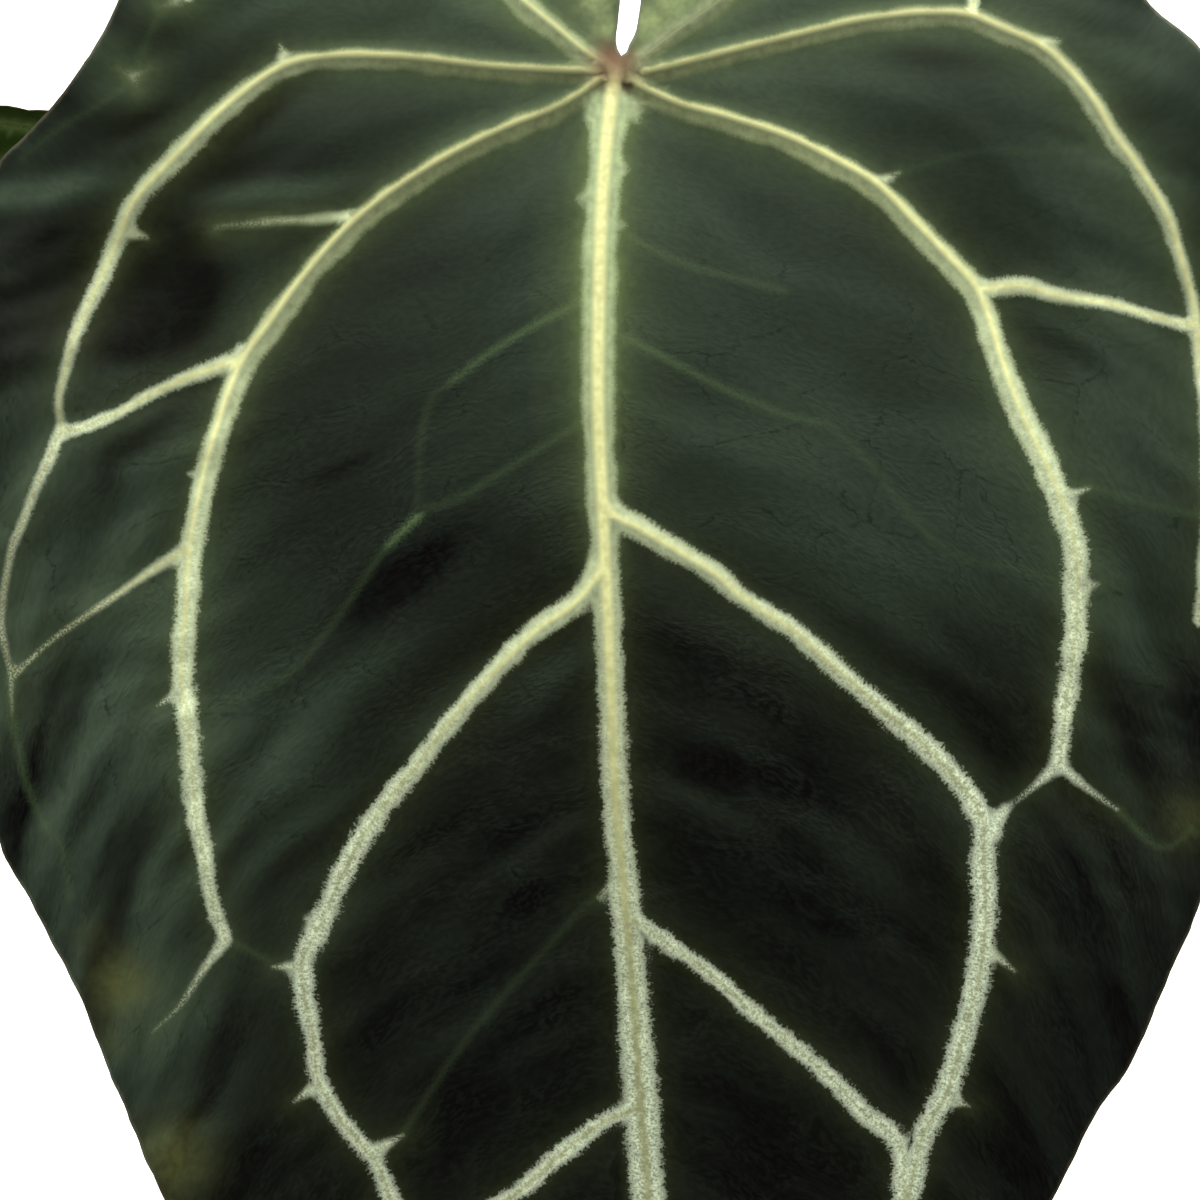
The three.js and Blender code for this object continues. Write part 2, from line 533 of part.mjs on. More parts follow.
// The way the blade's surface looks right at the joint, in the leaf's frame
function jointNormal(leaf) {
  const reach = 1.5;
  const slopeX = (middleHeight(reach, -1, leaf) - middleHeight(-reach, -1, leaf)) / (2 * reach);
  const slopeY = (middleHeight(0, -1 + reach, leaf) - middleHeight(0, -1 - reach, leaf)) / (2 * reach);
  return new THREE.Vector3(-slopeX * leaf.mirror, -slopeY, 1).normalize();
}

// Stalk: from the side of the stem up to the cushion under the blade, thicker at its base and at its knee
function stalkGeometry(leaf) {
  const matrix = leafMatrix(leaf);
  const normal = jointNormal(leaf);
  const under = BLADE_THICKNESS / 2 + CUSHION_HEIGHT + FIT_GAP + 0.25;
  const size = Math.sqrt(leaf.scale);
  const below = (depth) => new THREE.Vector3(0, -1 * leaf.scale, 0).addScaledVector(normal, -depth)
    .applyMatrix4(matrix);
  const angle = THREE.MathUtils.degToRad(leaf.baseAngle);
  const baseDistance = STEM_RADIUS + FIT_GAP + STALK_BASE_RADIUS * size + 0.2;
  const base = (z, out) => new THREE.Vector3(
    Math.cos(angle) * (baseDistance + out), Math.sin(angle) * (baseDistance + out), z);
  const points = [
    base(leaf.baseHeight, 0),
    base(leaf.baseHeight + 9, 1),
    ...leaf.route.map((p) => new THREE.Vector3(...p)),
    below(under + KNEE_LENGTH * 0.9 * size),
    below(under),
  ];
  const length = new THREE.CatmullRomCurve3(points, false, 'centripetal').getLength();
  const radiusAt = (share) => {
    const base01 = Math.max(0, 1 - (share * length) / 30);
    const knee01 = Math.max(0, 1 - Math.abs((1 - share) * length - KNEE_LENGTH * 0.45) / (KNEE_LENGTH * 0.6));
    return size * (STALK_RADIUS + (STALK_BASE_RADIUS - STALK_RADIUS) * base01 + 0.5 * knee01);
  };
  return taperedBar(points, radiusAt, Math.round(length / 11), 8);
}

// New shoot: the next leaf, rolled in its sheath, on top of the stem
function shootGeometry() {
  const foot = STEM_TOP + FIT_GAP;
  const points = [[0, 0, foot], [0.4, 0.3, foot + 14], [1.4, 0.8, foot + 30], [3.4, 1.6, foot + 52]]
    .map((p) => new THREE.Vector3(...p));
  const radiusAt = (share) => 3 * Math.max(0.12, Math.sin(Math.PI * (0.28 + 0.7 * share)));
  return taperedBar(points, radiusAt, 9, 8);
}

const plant = new THREE.Group();
plant.add(named('pot', potGeometry(), finish.pot));
plant.add(named('growing_mix', mixGeometry(), finish.mix));
plant.add(named('rootstock', geometryOf(rootstockSolid(0)), finish.root));
plant.add(named('papery_collar', collarGeometry(), finish.paper));
plant.add(named('new_shoot', shootGeometry(), finish.shoot));
for (const leaf of LEAVES) {
  const blade = named(`${leaf.name}_blade`, bladeGeometry(leaf), finish.blade);
  blade.applyMatrix4(leafMatrix(leaf));
  plant.add(blade, named(`${leaf.name}_stalk`, stalkGeometry(leaf), finish.stalk));
}

export default plant;
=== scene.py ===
# %% [markdown]
# # Potted anthurium hybrid
# A velvety, almost black leaf with pale raised veins hangs in front of five others over a clay pot.
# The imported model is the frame: its solids say where every piece goes, and each visible piece made here
# stands in the place of one of them. All sizes below are millimetres, turned to metres by MM.

# %% Load the frame
import math
from types import SimpleNamespace

import bmesh
import bpy
import numpy as np
from mathutils import Matrix, Vector, noise
from mathutils.geometry import delaunay_2d_cdt


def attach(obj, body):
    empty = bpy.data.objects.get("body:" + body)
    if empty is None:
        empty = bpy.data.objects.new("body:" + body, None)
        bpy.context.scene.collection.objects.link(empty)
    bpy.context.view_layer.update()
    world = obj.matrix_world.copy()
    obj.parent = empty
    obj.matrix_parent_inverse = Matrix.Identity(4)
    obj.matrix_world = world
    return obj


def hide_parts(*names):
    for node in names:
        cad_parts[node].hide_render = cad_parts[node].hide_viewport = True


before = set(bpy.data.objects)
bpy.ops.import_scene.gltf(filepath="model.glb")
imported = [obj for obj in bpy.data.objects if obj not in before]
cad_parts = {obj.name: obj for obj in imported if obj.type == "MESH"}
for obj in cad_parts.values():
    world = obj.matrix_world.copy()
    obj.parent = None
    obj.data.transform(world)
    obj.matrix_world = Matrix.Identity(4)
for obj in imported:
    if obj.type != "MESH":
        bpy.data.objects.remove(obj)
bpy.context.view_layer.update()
MM = 0.001
print("solids in the frame:", len(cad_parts))

# %% [markdown]
# ## The camera
# The photo is a close-up, square on to the front leaf, whose blade leans back by 20 degrees. The camera
# therefore looks along the blade's own normal, from 350 mm away. A 100 mm lens then sees 126 mm of leaf.

# %% Camera
FRONT_TILT = math.radians(20)
FRONT_JOINT = Vector((0, -62, 352))
VIEW_MIDDLE = (-1.8, -55.7)
VIEW_DISTANCE = 350
LENS = 100

across = Vector((1, 0, 0))
upward = Vector((0, math.sin(FRONT_TILT), math.cos(FRONT_TILT)))
outward = across.cross(upward)
aim = FRONT_JOINT + across * VIEW_MIDDLE[0] + upward * VIEW_MIDDLE[1]
stand = (aim + outward * VIEW_DISTANCE) * MM
camera = bpy.data.objects.new("camera", bpy.data.cameras.new("camera"))
camera.matrix_world = Matrix((
    (across.x, upward.x, outward.x, stand.x),
    (across.y, upward.y, outward.y, stand.y),
    (across.z, upward.z, outward.z, stand.z),
    (0, 0, 0, 1),
))
camera.data.lens = LENS
camera.data.clip_start = 0.01
bpy.context.scene.collection.objects.link(camera)
bpy.context.scene.camera = camera
bpy.context.scene.view_settings.view_transform = "Standard"
print("the camera stands at", [round(v, 3) for v in stand])

# %% [markdown]
# ## Light and floor
# The leaf is lit softly from above, so its upper part shines a little and its lower part falls into
# shade. A second wide light behind the plant turns the floor there plain white. The world is dark in
# front, where the camera stands, dim near the ground and brighter overhead, like a room with pale walls.

# %% Node helpers
def node(tree, kind, sockets=None, **settings):
    """Adds a shader node; sockets gives a number, or another node's output, for each input."""
    made = tree.nodes.new("ShaderNode" + kind)
    for key, value in settings.items():
        setattr(made, key, value)
    for key, value in (sockets or {}).items():
        if isinstance(value, bpy.types.NodeSocket):
            tree.links.new(value, made.inputs[key])
        else:
            made.inputs[key].default_value = value
    return made


def maths(tree, operation, first, second, third=0.0):
    return node(tree, "Math", {0: first, 1: second, 2: third}, operation=operation).outputs[0]


def times(tree, first, second):
    return maths(tree, "MULTIPLY", first, second)


def fade(tree, value, start, end, low=0.0, high=1.0):
    """Goes smoothly from low to high while value goes from start to end."""
    sockets = {"Value": value, "From Min": start, "From Max": end, "To Min": low, "To Max": high}
    return node(tree, "MapRange", sockets, interpolation_type="SMOOTHSTEP").outputs["Result"]


def mixed(tree, share, first, second, way="MIX"):
    first = first if isinstance(first, bpy.types.NodeSocket) else (*first, 1)
    second = second if isinstance(second, bpy.types.NodeSocket) else (*second, 1)
    sockets = {0: share, 6: first, 7: second}
    return node(tree, "Mix", sockets, data_type="RGBA", blend_type=way).outputs[2]


def tinted(tree, colour, by):
    """A colour times another one, or times a number."""
    return mixed(tree, 1.0, colour, by, "MULTIPLY")


def grain(tree, place, scale, detail, roughness=0.5, sides="2D"):
    sockets = {"Vector": place, "Scale": scale, "Detail": detail, "Roughness": roughness}
    return node(tree, "TexNoise", sockets, noise_dimensions=sides).outputs["Fac"]


def cracks(tree, place, scale):
    """Distance to the nearest line of a net of cells, in cells."""
    sockets = {"Vector": place, "Scale": scale}
    made = node(tree, "TexVoronoi", sockets, voronoi_dimensions="2D", feature="DISTANCE_TO_EDGE")
    return made.outputs["Distance"]


def stretched(tree, place, amounts):
    return node(tree, "VectorMath", {0: place, 1: amounts}, operation="MULTIPLY").outputs[0]


# %% World
SKY_SIDES = 0.4
SKY_ABOVE = 0.7
SKY_IN_FRONT = 0.08
SKY_SEEN = 0.95
world = bpy.data.worlds.new("studio")
bpy.context.scene.world = world
world.use_nodes = True
sky = world.node_tree
direction = node(sky, "SeparateXYZ", {0: node(sky, "TexCoord").outputs["Generated"]})
room = fade(sky, direction.outputs["Z"], 0.0, 0.8, SKY_SIDES, SKY_ABOVE)
room = times(sky, room, fade(sky, direction.outputs["Y"], -0.9, -0.2, SKY_IN_FRONT, 1))
seen_directly = node(sky, "LightPath").outputs["Is Camera Ray"]
shown = maths(sky, "MAXIMUM", room, times(sky, seen_directly, SKY_SEEN))
sky.links.new(shown, sky.nodes["Background"].inputs["Strength"])
sky.nodes["Background"].inputs["Color"].default_value = (1.0, 1.0, 0.98, 1)


print("the sky has", len(sky.nodes), "nodes")


# %% Lights and floor
def soft_light(name, place, target, size, watts):
    """A square area light that looks at a target, both in metres."""
    light = bpy.data.objects.new(name, bpy.data.lights.new(name, "AREA"))
    light.data.shape = "SQUARE"
    light.data.size = size
    light.data.energy = watts
    place = Vector(place)
    turn = (Vector(target) - place).to_track_quat("-Z", "Y")
    light.matrix_world = Matrix.Translation(place) @ turn.to_matrix().to_4x4()
    bpy.context.scene.collection.objects.link(light)


soft_light("top_light", (0, -0.16, 0.86), (0, -0.08, 0.3), 0.5, 5)
soft_light("floor_light", (0, 1.6, 1.8), (0, 1.5, 0), 3.0, 130)

floor_mesh = bmesh.new()
bmesh.ops.create_grid(floor_mesh, x_segments=1, y_segments=1, size=5)
floor_data = bpy.data.meshes.new("floor")
floor_mesh.to_mesh(floor_data)
floor_mesh.free()
floor = bpy.data.objects.new("floor", floor_data)
bpy.context.scene.collection.objects.link(floor)
floor_finish = bpy.data.materials.new("pale_floor")
floor_finish.use_nodes = True
floor_shader = floor_finish.node_tree.nodes["Principled BSDF"]
floor_shader.inputs["Base Color"].default_value = (0.9, 0.9, 0.89, 1)
floor_shader.inputs["Roughness"].default_value = 0.7
floor_shader.inputs["Specular IOR Level"].default_value = 0.2
floor_data.materials.append(floor_finish)

# %% [markdown]
# ## Drawing a leaf flat
# A leaf is drawn flat first: its margin, then its veins, as smooth lines through a few points. The margin
# is in millimetres from the joint, where the stalk meets the blade. The veins were followed on the
# photo, so their points are photo pixels, and one pixel is 0.105 mm on the leaf. What lies outside the
# photo carries on in the same way.

# %% Margin of the blade
MARGIN = [
    (1.3, 2.6), (1.9, 3.9), (2.5, 7.4), (3.6, 16), (6.5, 27), (13, 37.5), (23, 43), (33, 40.5), (43.5, 29),
    (50, 16), (55.9, 7), (61.2, 2.2), (65, -6), (67.6, -17), (68.8, -32), (68.4, -50), (66, -68),
    (61.2, -87.4), (58.5, -93.9), (53.7, -104.7), (50.4, -109.5), (45.7, -118.7), (37.5, -134), (28.5, -150),
    (20.5, -166), (14.4, -180), (10.6, -190), (7.6, -205), (3.6, -192), (-2.5, -182), (-11.5, -170.5),
    (-22.5, -156), (-33.5, -141), (-42.5, -128), (-47.5, -118.7), (-52.7, -106.7), (-56, -98.3),
    (-58.8, -92.6), (-62, -86.6), (-64.8, -81.4), (-68.2, -66), (-69.3, -50), (-68.8, -32), (-66.6, -16),
    (-64.8, -9.6), (-62.4, -7.1), (-58.3, -2.5), (-54.2, 3.4), (-51.6, 9), (-48, 18), (-42.5, 29),
    (-32, 39.5), (-21, 43), (-11.5, 39), (-4.6, 28.5), (-1.2, 17), (0.3, 8), (0.1, 5), (-0.1, 2.6),
    (0.6, 1.4),
]
PIXEL = 0.105
JOINT_PIXEL = (617, 70)


def on_leaf(pixels):
    """Photo pixels to millimetres on the flat leaf, with y towards the notch."""
    points = np.array(pixels, float) - JOINT_PIXEL
    return points * (PIXEL, -PIXEL)


print("points on the margin:", len(MARGIN))


# %% Smooth lines and distances
def smooth_line(points, step, closed=False):
    """A smooth curve through the points (centripetal Catmull-Rom), cut into even steps."""
    p = np.array(points, float)
    ring = np.vstack([p[-1], p, p[:2]]) if closed else np.vstack([2 * p[0] - p[1], p, 2 * p[-1] - p[-2]])
    p0, p1, p2, p3 = ring[:-3], ring[1:-2], ring[2:-1], ring[3:]
    gap = [np.sqrt(np.linalg.norm(b - a, axis=1))[:, None] for a, b in ((p0, p1), (p1, p2), (p2, p3))]
    leave = ((p1 - p0) / gap[0] - (p2 - p0) / (gap[0] + gap[1]) + (p2 - p1) / gap[1]) * gap[1]
    reach = ((p2 - p1) / gap[1] - (p3 - p1) / (gap[1] + gap[2]) + (p3 - p2) / gap[2]) * gap[1]
    shares = np.linspace(0, 1, 25)[:-1, None, None]
    bow = 3 * (p2 - p1) - 2 * leave - reach
    twist = 2 * (p1 - p2) + leave + reach
    fine = p1 + leave * shares + bow * shares ** 2 + twist * shares ** 3
    fine = np.vstack([fine.transpose(1, 0, 2).reshape(-1, p.shape[1]), p[:1] if closed else p[-1:]])
    along = np.concatenate([[0], np.cumsum(np.linalg.norm(np.diff(fine, axis=0), axis=1))])
    count = max(2, round(along[-1] / step))
    stops = np.linspace(0, along[-1], count + 1)
    even = np.column_stack([np.interp(stops, along, fine[:, k]) for k in range(p.shape[1])])
    return even[:-1] if closed else even


def nearest(points, line):
    """Distance of each point to a line, its share of the way along, and which side it lies on."""
    start = line[:-1]
    step = np.diff(line, axis=0)
    squared = (step ** 2).sum(1)
    best = np.full(len(points), 1e9)
    share = np.zeros(len(points))
    side = np.zeros(len(points))
    for first in range(0, len(points), 4000):
        block = points[first:first + 4000]
        away = block[:, None] - start
        along = np.clip((away * step).sum(2) / squared, 0, 1)
        miss = away - along[..., None] * step
        distance = np.hypot(miss[..., 0], miss[..., 1])
        k = distance.argmin(1)
        rows = np.arange(len(block))
        best[first:first + 4000] = distance[rows, k]
        share[first:first + 4000] = (k + along[rows, k]) / len(start)
        side[first:first + 4000] = np.sign(step[k, 0] * away[rows, k, 1] - step[k, 1] * away[rows, k, 0])
    return best, share, side


def within(points, margin):
    """Which points lie inside a closed line: those that a ray crosses it from an odd number of times."""
    x, y = points[:, 0], points[:, 1]
    odd = np.zeros(len(points), bool)
    for (ax, ay), (bx, by) in zip(margin, np.roll(margin, -1, 0)):
        if ay != by:
            odd ^= ((ay > y) != (by > y)) & (x < (bx - ax) * (y - ay) / (by - ay) + ax)
    return odd


print("margin length:", round(len(smooth_line(MARGIN, 1, True))), "mm")

# %% [markdown]
# ## The veins
# Each vein is a row of photo pixels with a few values along it. half is half the width of its pale band in
# millimetres. tone goes from 0, the warm yellow-green near the joint, to 1, the silver further out. rise
# is the height of its ridge, and glow is how much green spreads beside it. The bright line in the middle
# of the band has its own half width, core; near the joint it is partly a painted highlight on the ridge's
# crest. light dims the whole vein as painted shade, and shift moves the band off the ridge towards one
# flank, as the side veins have it near the joint.

# %% Vein table
VEIN_STEP = 0.9
VEINS = []


def vein(line, half, tone, rise, core, glow=(0.15,), light=(1,), shift=(0,), main=False):
    VEINS.append({"line": smooth_line(on_leaf(line), VEIN_STEP), "half": half, "tone": tone, "rise": rise,
                  "glow": glow, "core": core, "light": light, "shift": shift, "main": main})


vein([(615, 75), (611, 100), (602, 200), (599, 300), (598, 400), (603, 520), (607, 600), (612, 720),
      (615, 791), (625, 906), (632, 983), (640, 1097), (648, 1200), (651, 1289), (663, 1499), (674, 1708),
      (687, 1937)],
     half=(1.0, 1.7, 1.5, 1.35, 1.5, 1.8, 1.5, 1.2, 0.8, 0.4),
     tone=(0, 0.15, 0.5, 0.8, 1, 1, 1), rise=(1.2, 0.95, 0.8, 0.7, 0.6, 0.5, 0.4, 0.3),
     glow=(0.9, 1.05, 0.6, 0.2, 0.15, 0.15, 0.15, 0, 0, 0, 0),
     core=(0.55, 0.5, 0.38, 0.3, 0.3, 0.3, 0.2), light=(1, 0.88, 0.84, 0.84, 1, 1), main=True)
vein([(611, 100), (607, 140), (603, 190), (600, 240)], half=(2.2, 1.6, 1.7, 1.7), tone=(0.2,), rise=(0.2,),
     glow=(0.9,), core=(-1,))
vein([(600, 72), (574, 71), (497, 67), (402, 57), (325, 57), (283, 67), (230, 103), (184, 149), (134, 203),
      (122, 230), (96, 291), (77, 333), (65, 375), (59, 402), (61, 430)],
     half=(0.8, 0.85, 0.9, 1.05, 0.8, 0.4), tone=(0, 0.05, 0.25, 0.5, 0.7),
     rise=(1.1, 1.0, 0.7, 0.5, 0.4), glow=(0.35, 0.35, 0.3, 0.15), core=(0.1, 0.12, 0.12, 0),
     light=(0.5, 0.5, 0.6, 0.8, 0.8, 0.5), shift=(0.5, 0.5, 0.25, 0, 0), main=True)
vein([(600, 80), (560, 105), (497, 131), (440, 160), (383, 197), (344, 230), (298, 283), (268, 325),
      (245, 356), (232, 383), (214, 440), (203, 478), (195, 517), (189, 555), (187, 600), (184, 638),
      (182, 676), (187, 715), (191, 753), (193, 791), (203, 849), (214, 906), (226, 940)],
     half=(0.9, 1.0, 1.0, 1.1, 1.15, 1.15, 1.0, 0.7), tone=(0, 0.05, 0.2, 0.4, 0.6, 0.8),
     rise=(1.15, 1.05, 0.8, 0.6, 0.45, 0.35), glow=(0.35, 0.35, 0.3, 0.2), core=(0.1, 0.14, 0.1, 0, -0.1),
     light=(0.5, 0.6, 0.8, 1.25, 1.1, 0.9), shift=(0.6, 0.65, 0.35, 0, 0), main=True)
vein([(642, 73), (715, 55), (791, 36), (868, 19), (925, 13), (967, 15), (1002, 29), (1040, 46), (1059, 61),
      (1090, 96), (1113, 134), (1136, 165), (1155, 195), (1170, 226), (1182, 268), (1193, 302), (1199, 363),
      (1203, 400), (1207, 489), (1198, 622)],
     half=(0.8, 0.85, 0.95, 0.95, 0.65, 0.55, 0.45), tone=(0, 0.05, 0.2, 0.45, 0.6, 0.8),
     rise=(1.1, 1.0, 0.7, 0.5, 0.4), glow=(0.35, 0.35, 0.3, 0.15), core=(0.1, 0.12, 0.12, 0),
     light=(0.52, 0.6, 0.8, 1), shift=(-0.5, -0.5, -0.2, 0, 0), main=True)
vein([(631, 82), (677, 103), (734, 119), (791, 138), (837, 161), (876, 184), (914, 222), (944, 253),
      (975, 287), (987, 314), (1002, 364), (1021, 413), (1040, 452), (1055, 486), (1067, 517), (1075, 555),
      (1076, 600), (1075, 638), (1069, 677), (1063, 722), (1059, 765)],
     half=(0.9, 1.0, 1.05, 1.15, 1.25, 1.3, 1.2, 0.8), tone=(0, 0.05, 0.2, 0.4, 0.65, 0.85),
     rise=(1.15, 1.05, 0.8, 0.6, 0.45, 0.35), glow=(0.35, 0.35, 0.3, 0.2), core=(0.1, 0.16, 0.14, 0.05, -0.1),
     light=(0.55, 0.8, 1.0, 1.15, 1.05, 0.95), shift=(-0.6, -0.55, -0.3, 0, 0), main=True)
vein([(602, 564), (594, 580), (574, 604), (536, 631), (497, 669), (459, 711), (421, 761), (383, 807),
      (356, 849), (337, 887), (318, 929), (302, 960)],
     half=(1.3, 1.0, 0.95, 1.0, 1.15, 1.15), tone=(0.3, 0.5, 0.75, 0.95), rise=(0.8, 0.6, 0.45),
     core=(0.15, 0.05, 0), light=(1, 1, 0.9, 0.85), main=True)
vein([(302, 960), (306, 1002), (314, 1040), (318, 1078), (337, 1113), (360, 1143), (377, 1163), (390, 1197),
      (417, 1270), (455, 1384), (490, 1500), (545, 1640), (610, 1780), (655, 1890)],
     half=(1.1, 0.85, 0.95, 0.9, 0.75, 0.6, 0.45, 0.25), tone=(1,), rise=(0.45, 0.35, 0.2),
     core=(0.05,), light=(0.85,), main=True)
vein([(604, 504), (616, 517), (638, 528), (677, 551), (715, 574), (742, 598), (791, 630), (837, 670),
      (885, 712), (925, 746), (952, 776), (972, 800), (984, 826)],
     half=(1.4, 1.05, 0.95, 1.0, 1.1, 1.15), tone=(0.3, 0.45, 0.7, 0.9), rise=(0.8, 0.65, 0.45),
     core=(0.15, 0.1, 0.05), light=(1, 1, 0.95, 0.85), main=True)
vein([(984, 826), (983, 850), (984, 880), (985, 906), (983, 944), (977, 983), (967, 1021), (956, 1059),
      (944, 1097), (925, 1128), (903, 1213), (855, 1337), (807, 1460), (770, 1590), (730, 1720), (705, 1840),
      (694, 1900)],
     half=(1.25, 1.3, 1.25, 1.1, 1.0, 0.9, 0.6, 0.4, 0.25), tone=(1,), rise=(0.45, 0.35, 0.2),
     core=(0.05,), light=(0.85,), main=True)
vein([(605, 66), (582, 50), (556, 28), (522, 0), (460, -60), (405, -135), (374, -205), (388, -268)],
     half=(0.9, 1.1, 1.2, 1.1, 0.8, 0.3), tone=(0.1, 0.15, 0.4, 0.7), rise=(0.9, 0.7, 0.4),
     glow=(0.5, 0.7, 0.4), core=(0.0,), light=(0.65, 0.78, 0.8, 0.9), shift=(0.2, 0.4, 0.5, 0),
     main=True)
vein([(638, 62), (674, 34), (722, 0), (798, -63), (855, -149), (855, -254)],
     half=(0.9, 1.1, 1.2, 1.1, 0.8, 0.3), tone=(0.1, 0.15, 0.4, 0.7), rise=(0.7, 0.25, 0.2),
     glow=(0.5, 0.6, 0.4), core=(-0.3, -0.4), light=(0.5, 0.36, 0.45, 0.8), shift=(0, 0.3, 0.3, 0),
     main=True)

# Branches
vein([(356, 216), (325, 220), (283, 222), (215, 228)],
     half=(0.6, 0.4, 0.3, 0.1), tone=(0.25,), rise=(0.5, 0.2), glow=(0.3,), core=(-1,),
     light=(1, 0.6, 0.25))
vein([(240, 360), (191, 377), (153, 394), (115, 415), (77, 430), (61, 432)],
     half=(1.0, 0.6, 0.5, 0.65), tone=(0.35, 0.6, 0.75), rise=(0.6, 0.4), core=(0.1, 0.1, 0))
vein([(61, 430), (50, 459), (34, 494), (23, 524), (11, 555), (4, 593), (2, 623), (11, 676), (13, 715)],
     half=(0.75, 0.55, 0.4, 0.35, 0.3, 0.02), tone=(0.7, 1), rise=(0.4, 0.15), core=(0,),
     light=(0.9, 0.7, 0.6, 0.45))
vein([(184, 551), (153, 570), (115, 597), (77, 623), (46, 646), (15, 676)],
     half=(0.7, 0.45, 0.3, 0.2, 0.25), tone=(0.5, 0.8), rise=(0.5, 0.2), core=(0,), light=(0.9, 0.6))
vein([(226, 940), (203, 971), (180, 1006), (153, 1032)],
     half=(0.7, 0.35, 0.2, 0.02), tone=(0.9,), rise=(0.4, 0.1), core=(-0.1,), light=(0.8, 0.5))
vein([(980, 290), (1021, 287), (1059, 297), (1117, 306), (1155, 318), (1193, 327)],
     half=(1.1, 0.75, 0.65, 0.55, 0.6), tone=(0.35, 0.6), rise=(0.6, 0.3), core=(0.12, 0.05))
vein([(1059, 765), (1090, 791), (1117, 810)], half=(0.6, 0.4, 0.1), tone=(0.9,), rise=(0.3, 0.1),
     core=(-1,), light=(0.8, 0.5))
vein([(1059, 765), (1032, 788), (1006, 809)], half=(0.7, 0.3, 0.15), tone=(0.9,), rise=(0.3, 0.1),
     core=(-1,), light=(0.8, 0.4))
vein([(636, 1108), (600, 1124), (555, 1159), (517, 1193), (484, 1213), (455, 1280)],
     half=(0.8, 0.9, 0.9, 0.8, 0.5, 0.2), tone=(1,), rise=(0.5, 0.2), core=(0.14, 0.08))
vein([(630, 918), (642, 925), (669, 944), (707, 971), (745, 1006), (791, 1044), (830, 1078), (868, 1117),
      (899, 1143), (903, 1200)],
     half=(0.9, 0.85, 0.8, 0.85, 0.9, 1.0, 1.1), tone=(0.85, 1), rise=(0.6, 0.4), core=(0, -0.1),
     light=(0.9,))
vein([(388, -159), (320, -130), (250, -90), (215, -45), (190, 0)], half=(0.6, 0.5, 0.4), tone=(0.7,),
     rise=(0.4, 0.3), core=(0.08,))
vein([(971, 12), (985, -45), (1010, -110), (1020, -160)], half=(0.6, 0.5, 0.3), tone=(0.6,), rise=(0.4, 0.2),
     core=(0.08,))
vein([(657, 1400), (600, 1450), (540, 1510), (500, 1530)], half=(0.5, 0.4, 0.3), tone=(1,), rise=(0.3, 0.2),
     core=(0.08,))
vein([(660, 1440), (710, 1490), (760, 1550), (778, 1570)], half=(0.5, 0.4, 0.3), tone=(1,), rise=(0.3, 0.2),
     core=(0.08,))
long_veins = len(VEINS)

# A tuft in the fork, then short side teeth where a branch begins but does not go on
vein([(986, 838), (998, 818), (1012, 802)], half=(1.1, 0.85, 0.3), tone=(0.95,), rise=(0.25, 0.05),
     core=(-1,), light=(0.9, 0.7))
TEETH = [
    [(287, 64), (280, 46)], [(126, 232), (147, 238)], [(184, 690), (172, 697), (158, 706)],
    [(203, 478), (187, 474)], [(876, 184), (900, 173)], [(1076, 588), (1099, 584)],
    [(1040, 46), (1059, 41)], [(297, 966), (273, 967)], [(318, 1085), (294, 1102)],
    [(377, 1150), (403, 1135)], [(983, 946), (1015, 972)], [(944, 1097), (969, 1106)],
    [(604, 575), (613, 552)], [(626, 912), (611, 886), (598, 898)], [(602, 236), (619, 228)],
    [(598, 300), (586, 303)], [(597, 420), (585, 424)], [(193, 791), (181, 800)],
    [(318, 930), (304, 918)], [(1036, 444), (1048, 436)], [(1064, 498), (1090, 488)],
    [(246, 352), (238, 344)], [(186, 640), (176, 644)],
]
WARM_ABOVE = 250
FAR_TUFTS = [
    [(133, 77), (117, 68)], [(133, 77), (149, 70)], [(133, 77), (138, 92)],
    [(176, 3), (160, 8)], [(176, 3), (192, 6)],
]
TUFTS = [
    [(598, 104), (582, 106)], [(594, 114), (585, 121)], [(614, 168), (628, 170)],
    [(622, 98), (634, 106), (639, 122)],
    [(594, 198), (577, 200)], [(608, 224), (626, 227)], [(592, 262), (581, 266)],
]
for tooth in TEETH:
    warm = tooth[0][1] < WARM_ABOVE
    vein(tooth, half=(0.75, 0.4, 0.05), tone=(0.35 if warm else 0.7,), rise=(0.25, 0.05), glow=(0.2,),
         core=(-1,), light=(0.9, 0.55 if warm else 0.7))
for tuft in TUFTS:
    vein(tuft, half=(0.8, 0.6, 0.1), tone=(0.25,), rise=(0.1,), glow=(0.5,), core=(-1,), light=(0.9, 0.6))
for tuft in FAR_TUFTS:
    vein(tuft, half=(0.45, 0.2, -0.1), tone=(0.45,), rise=(0.1,), glow=(0.4,), core=(-1,), light=(0.4, 0.15))
print("veins:", len(VEINS))

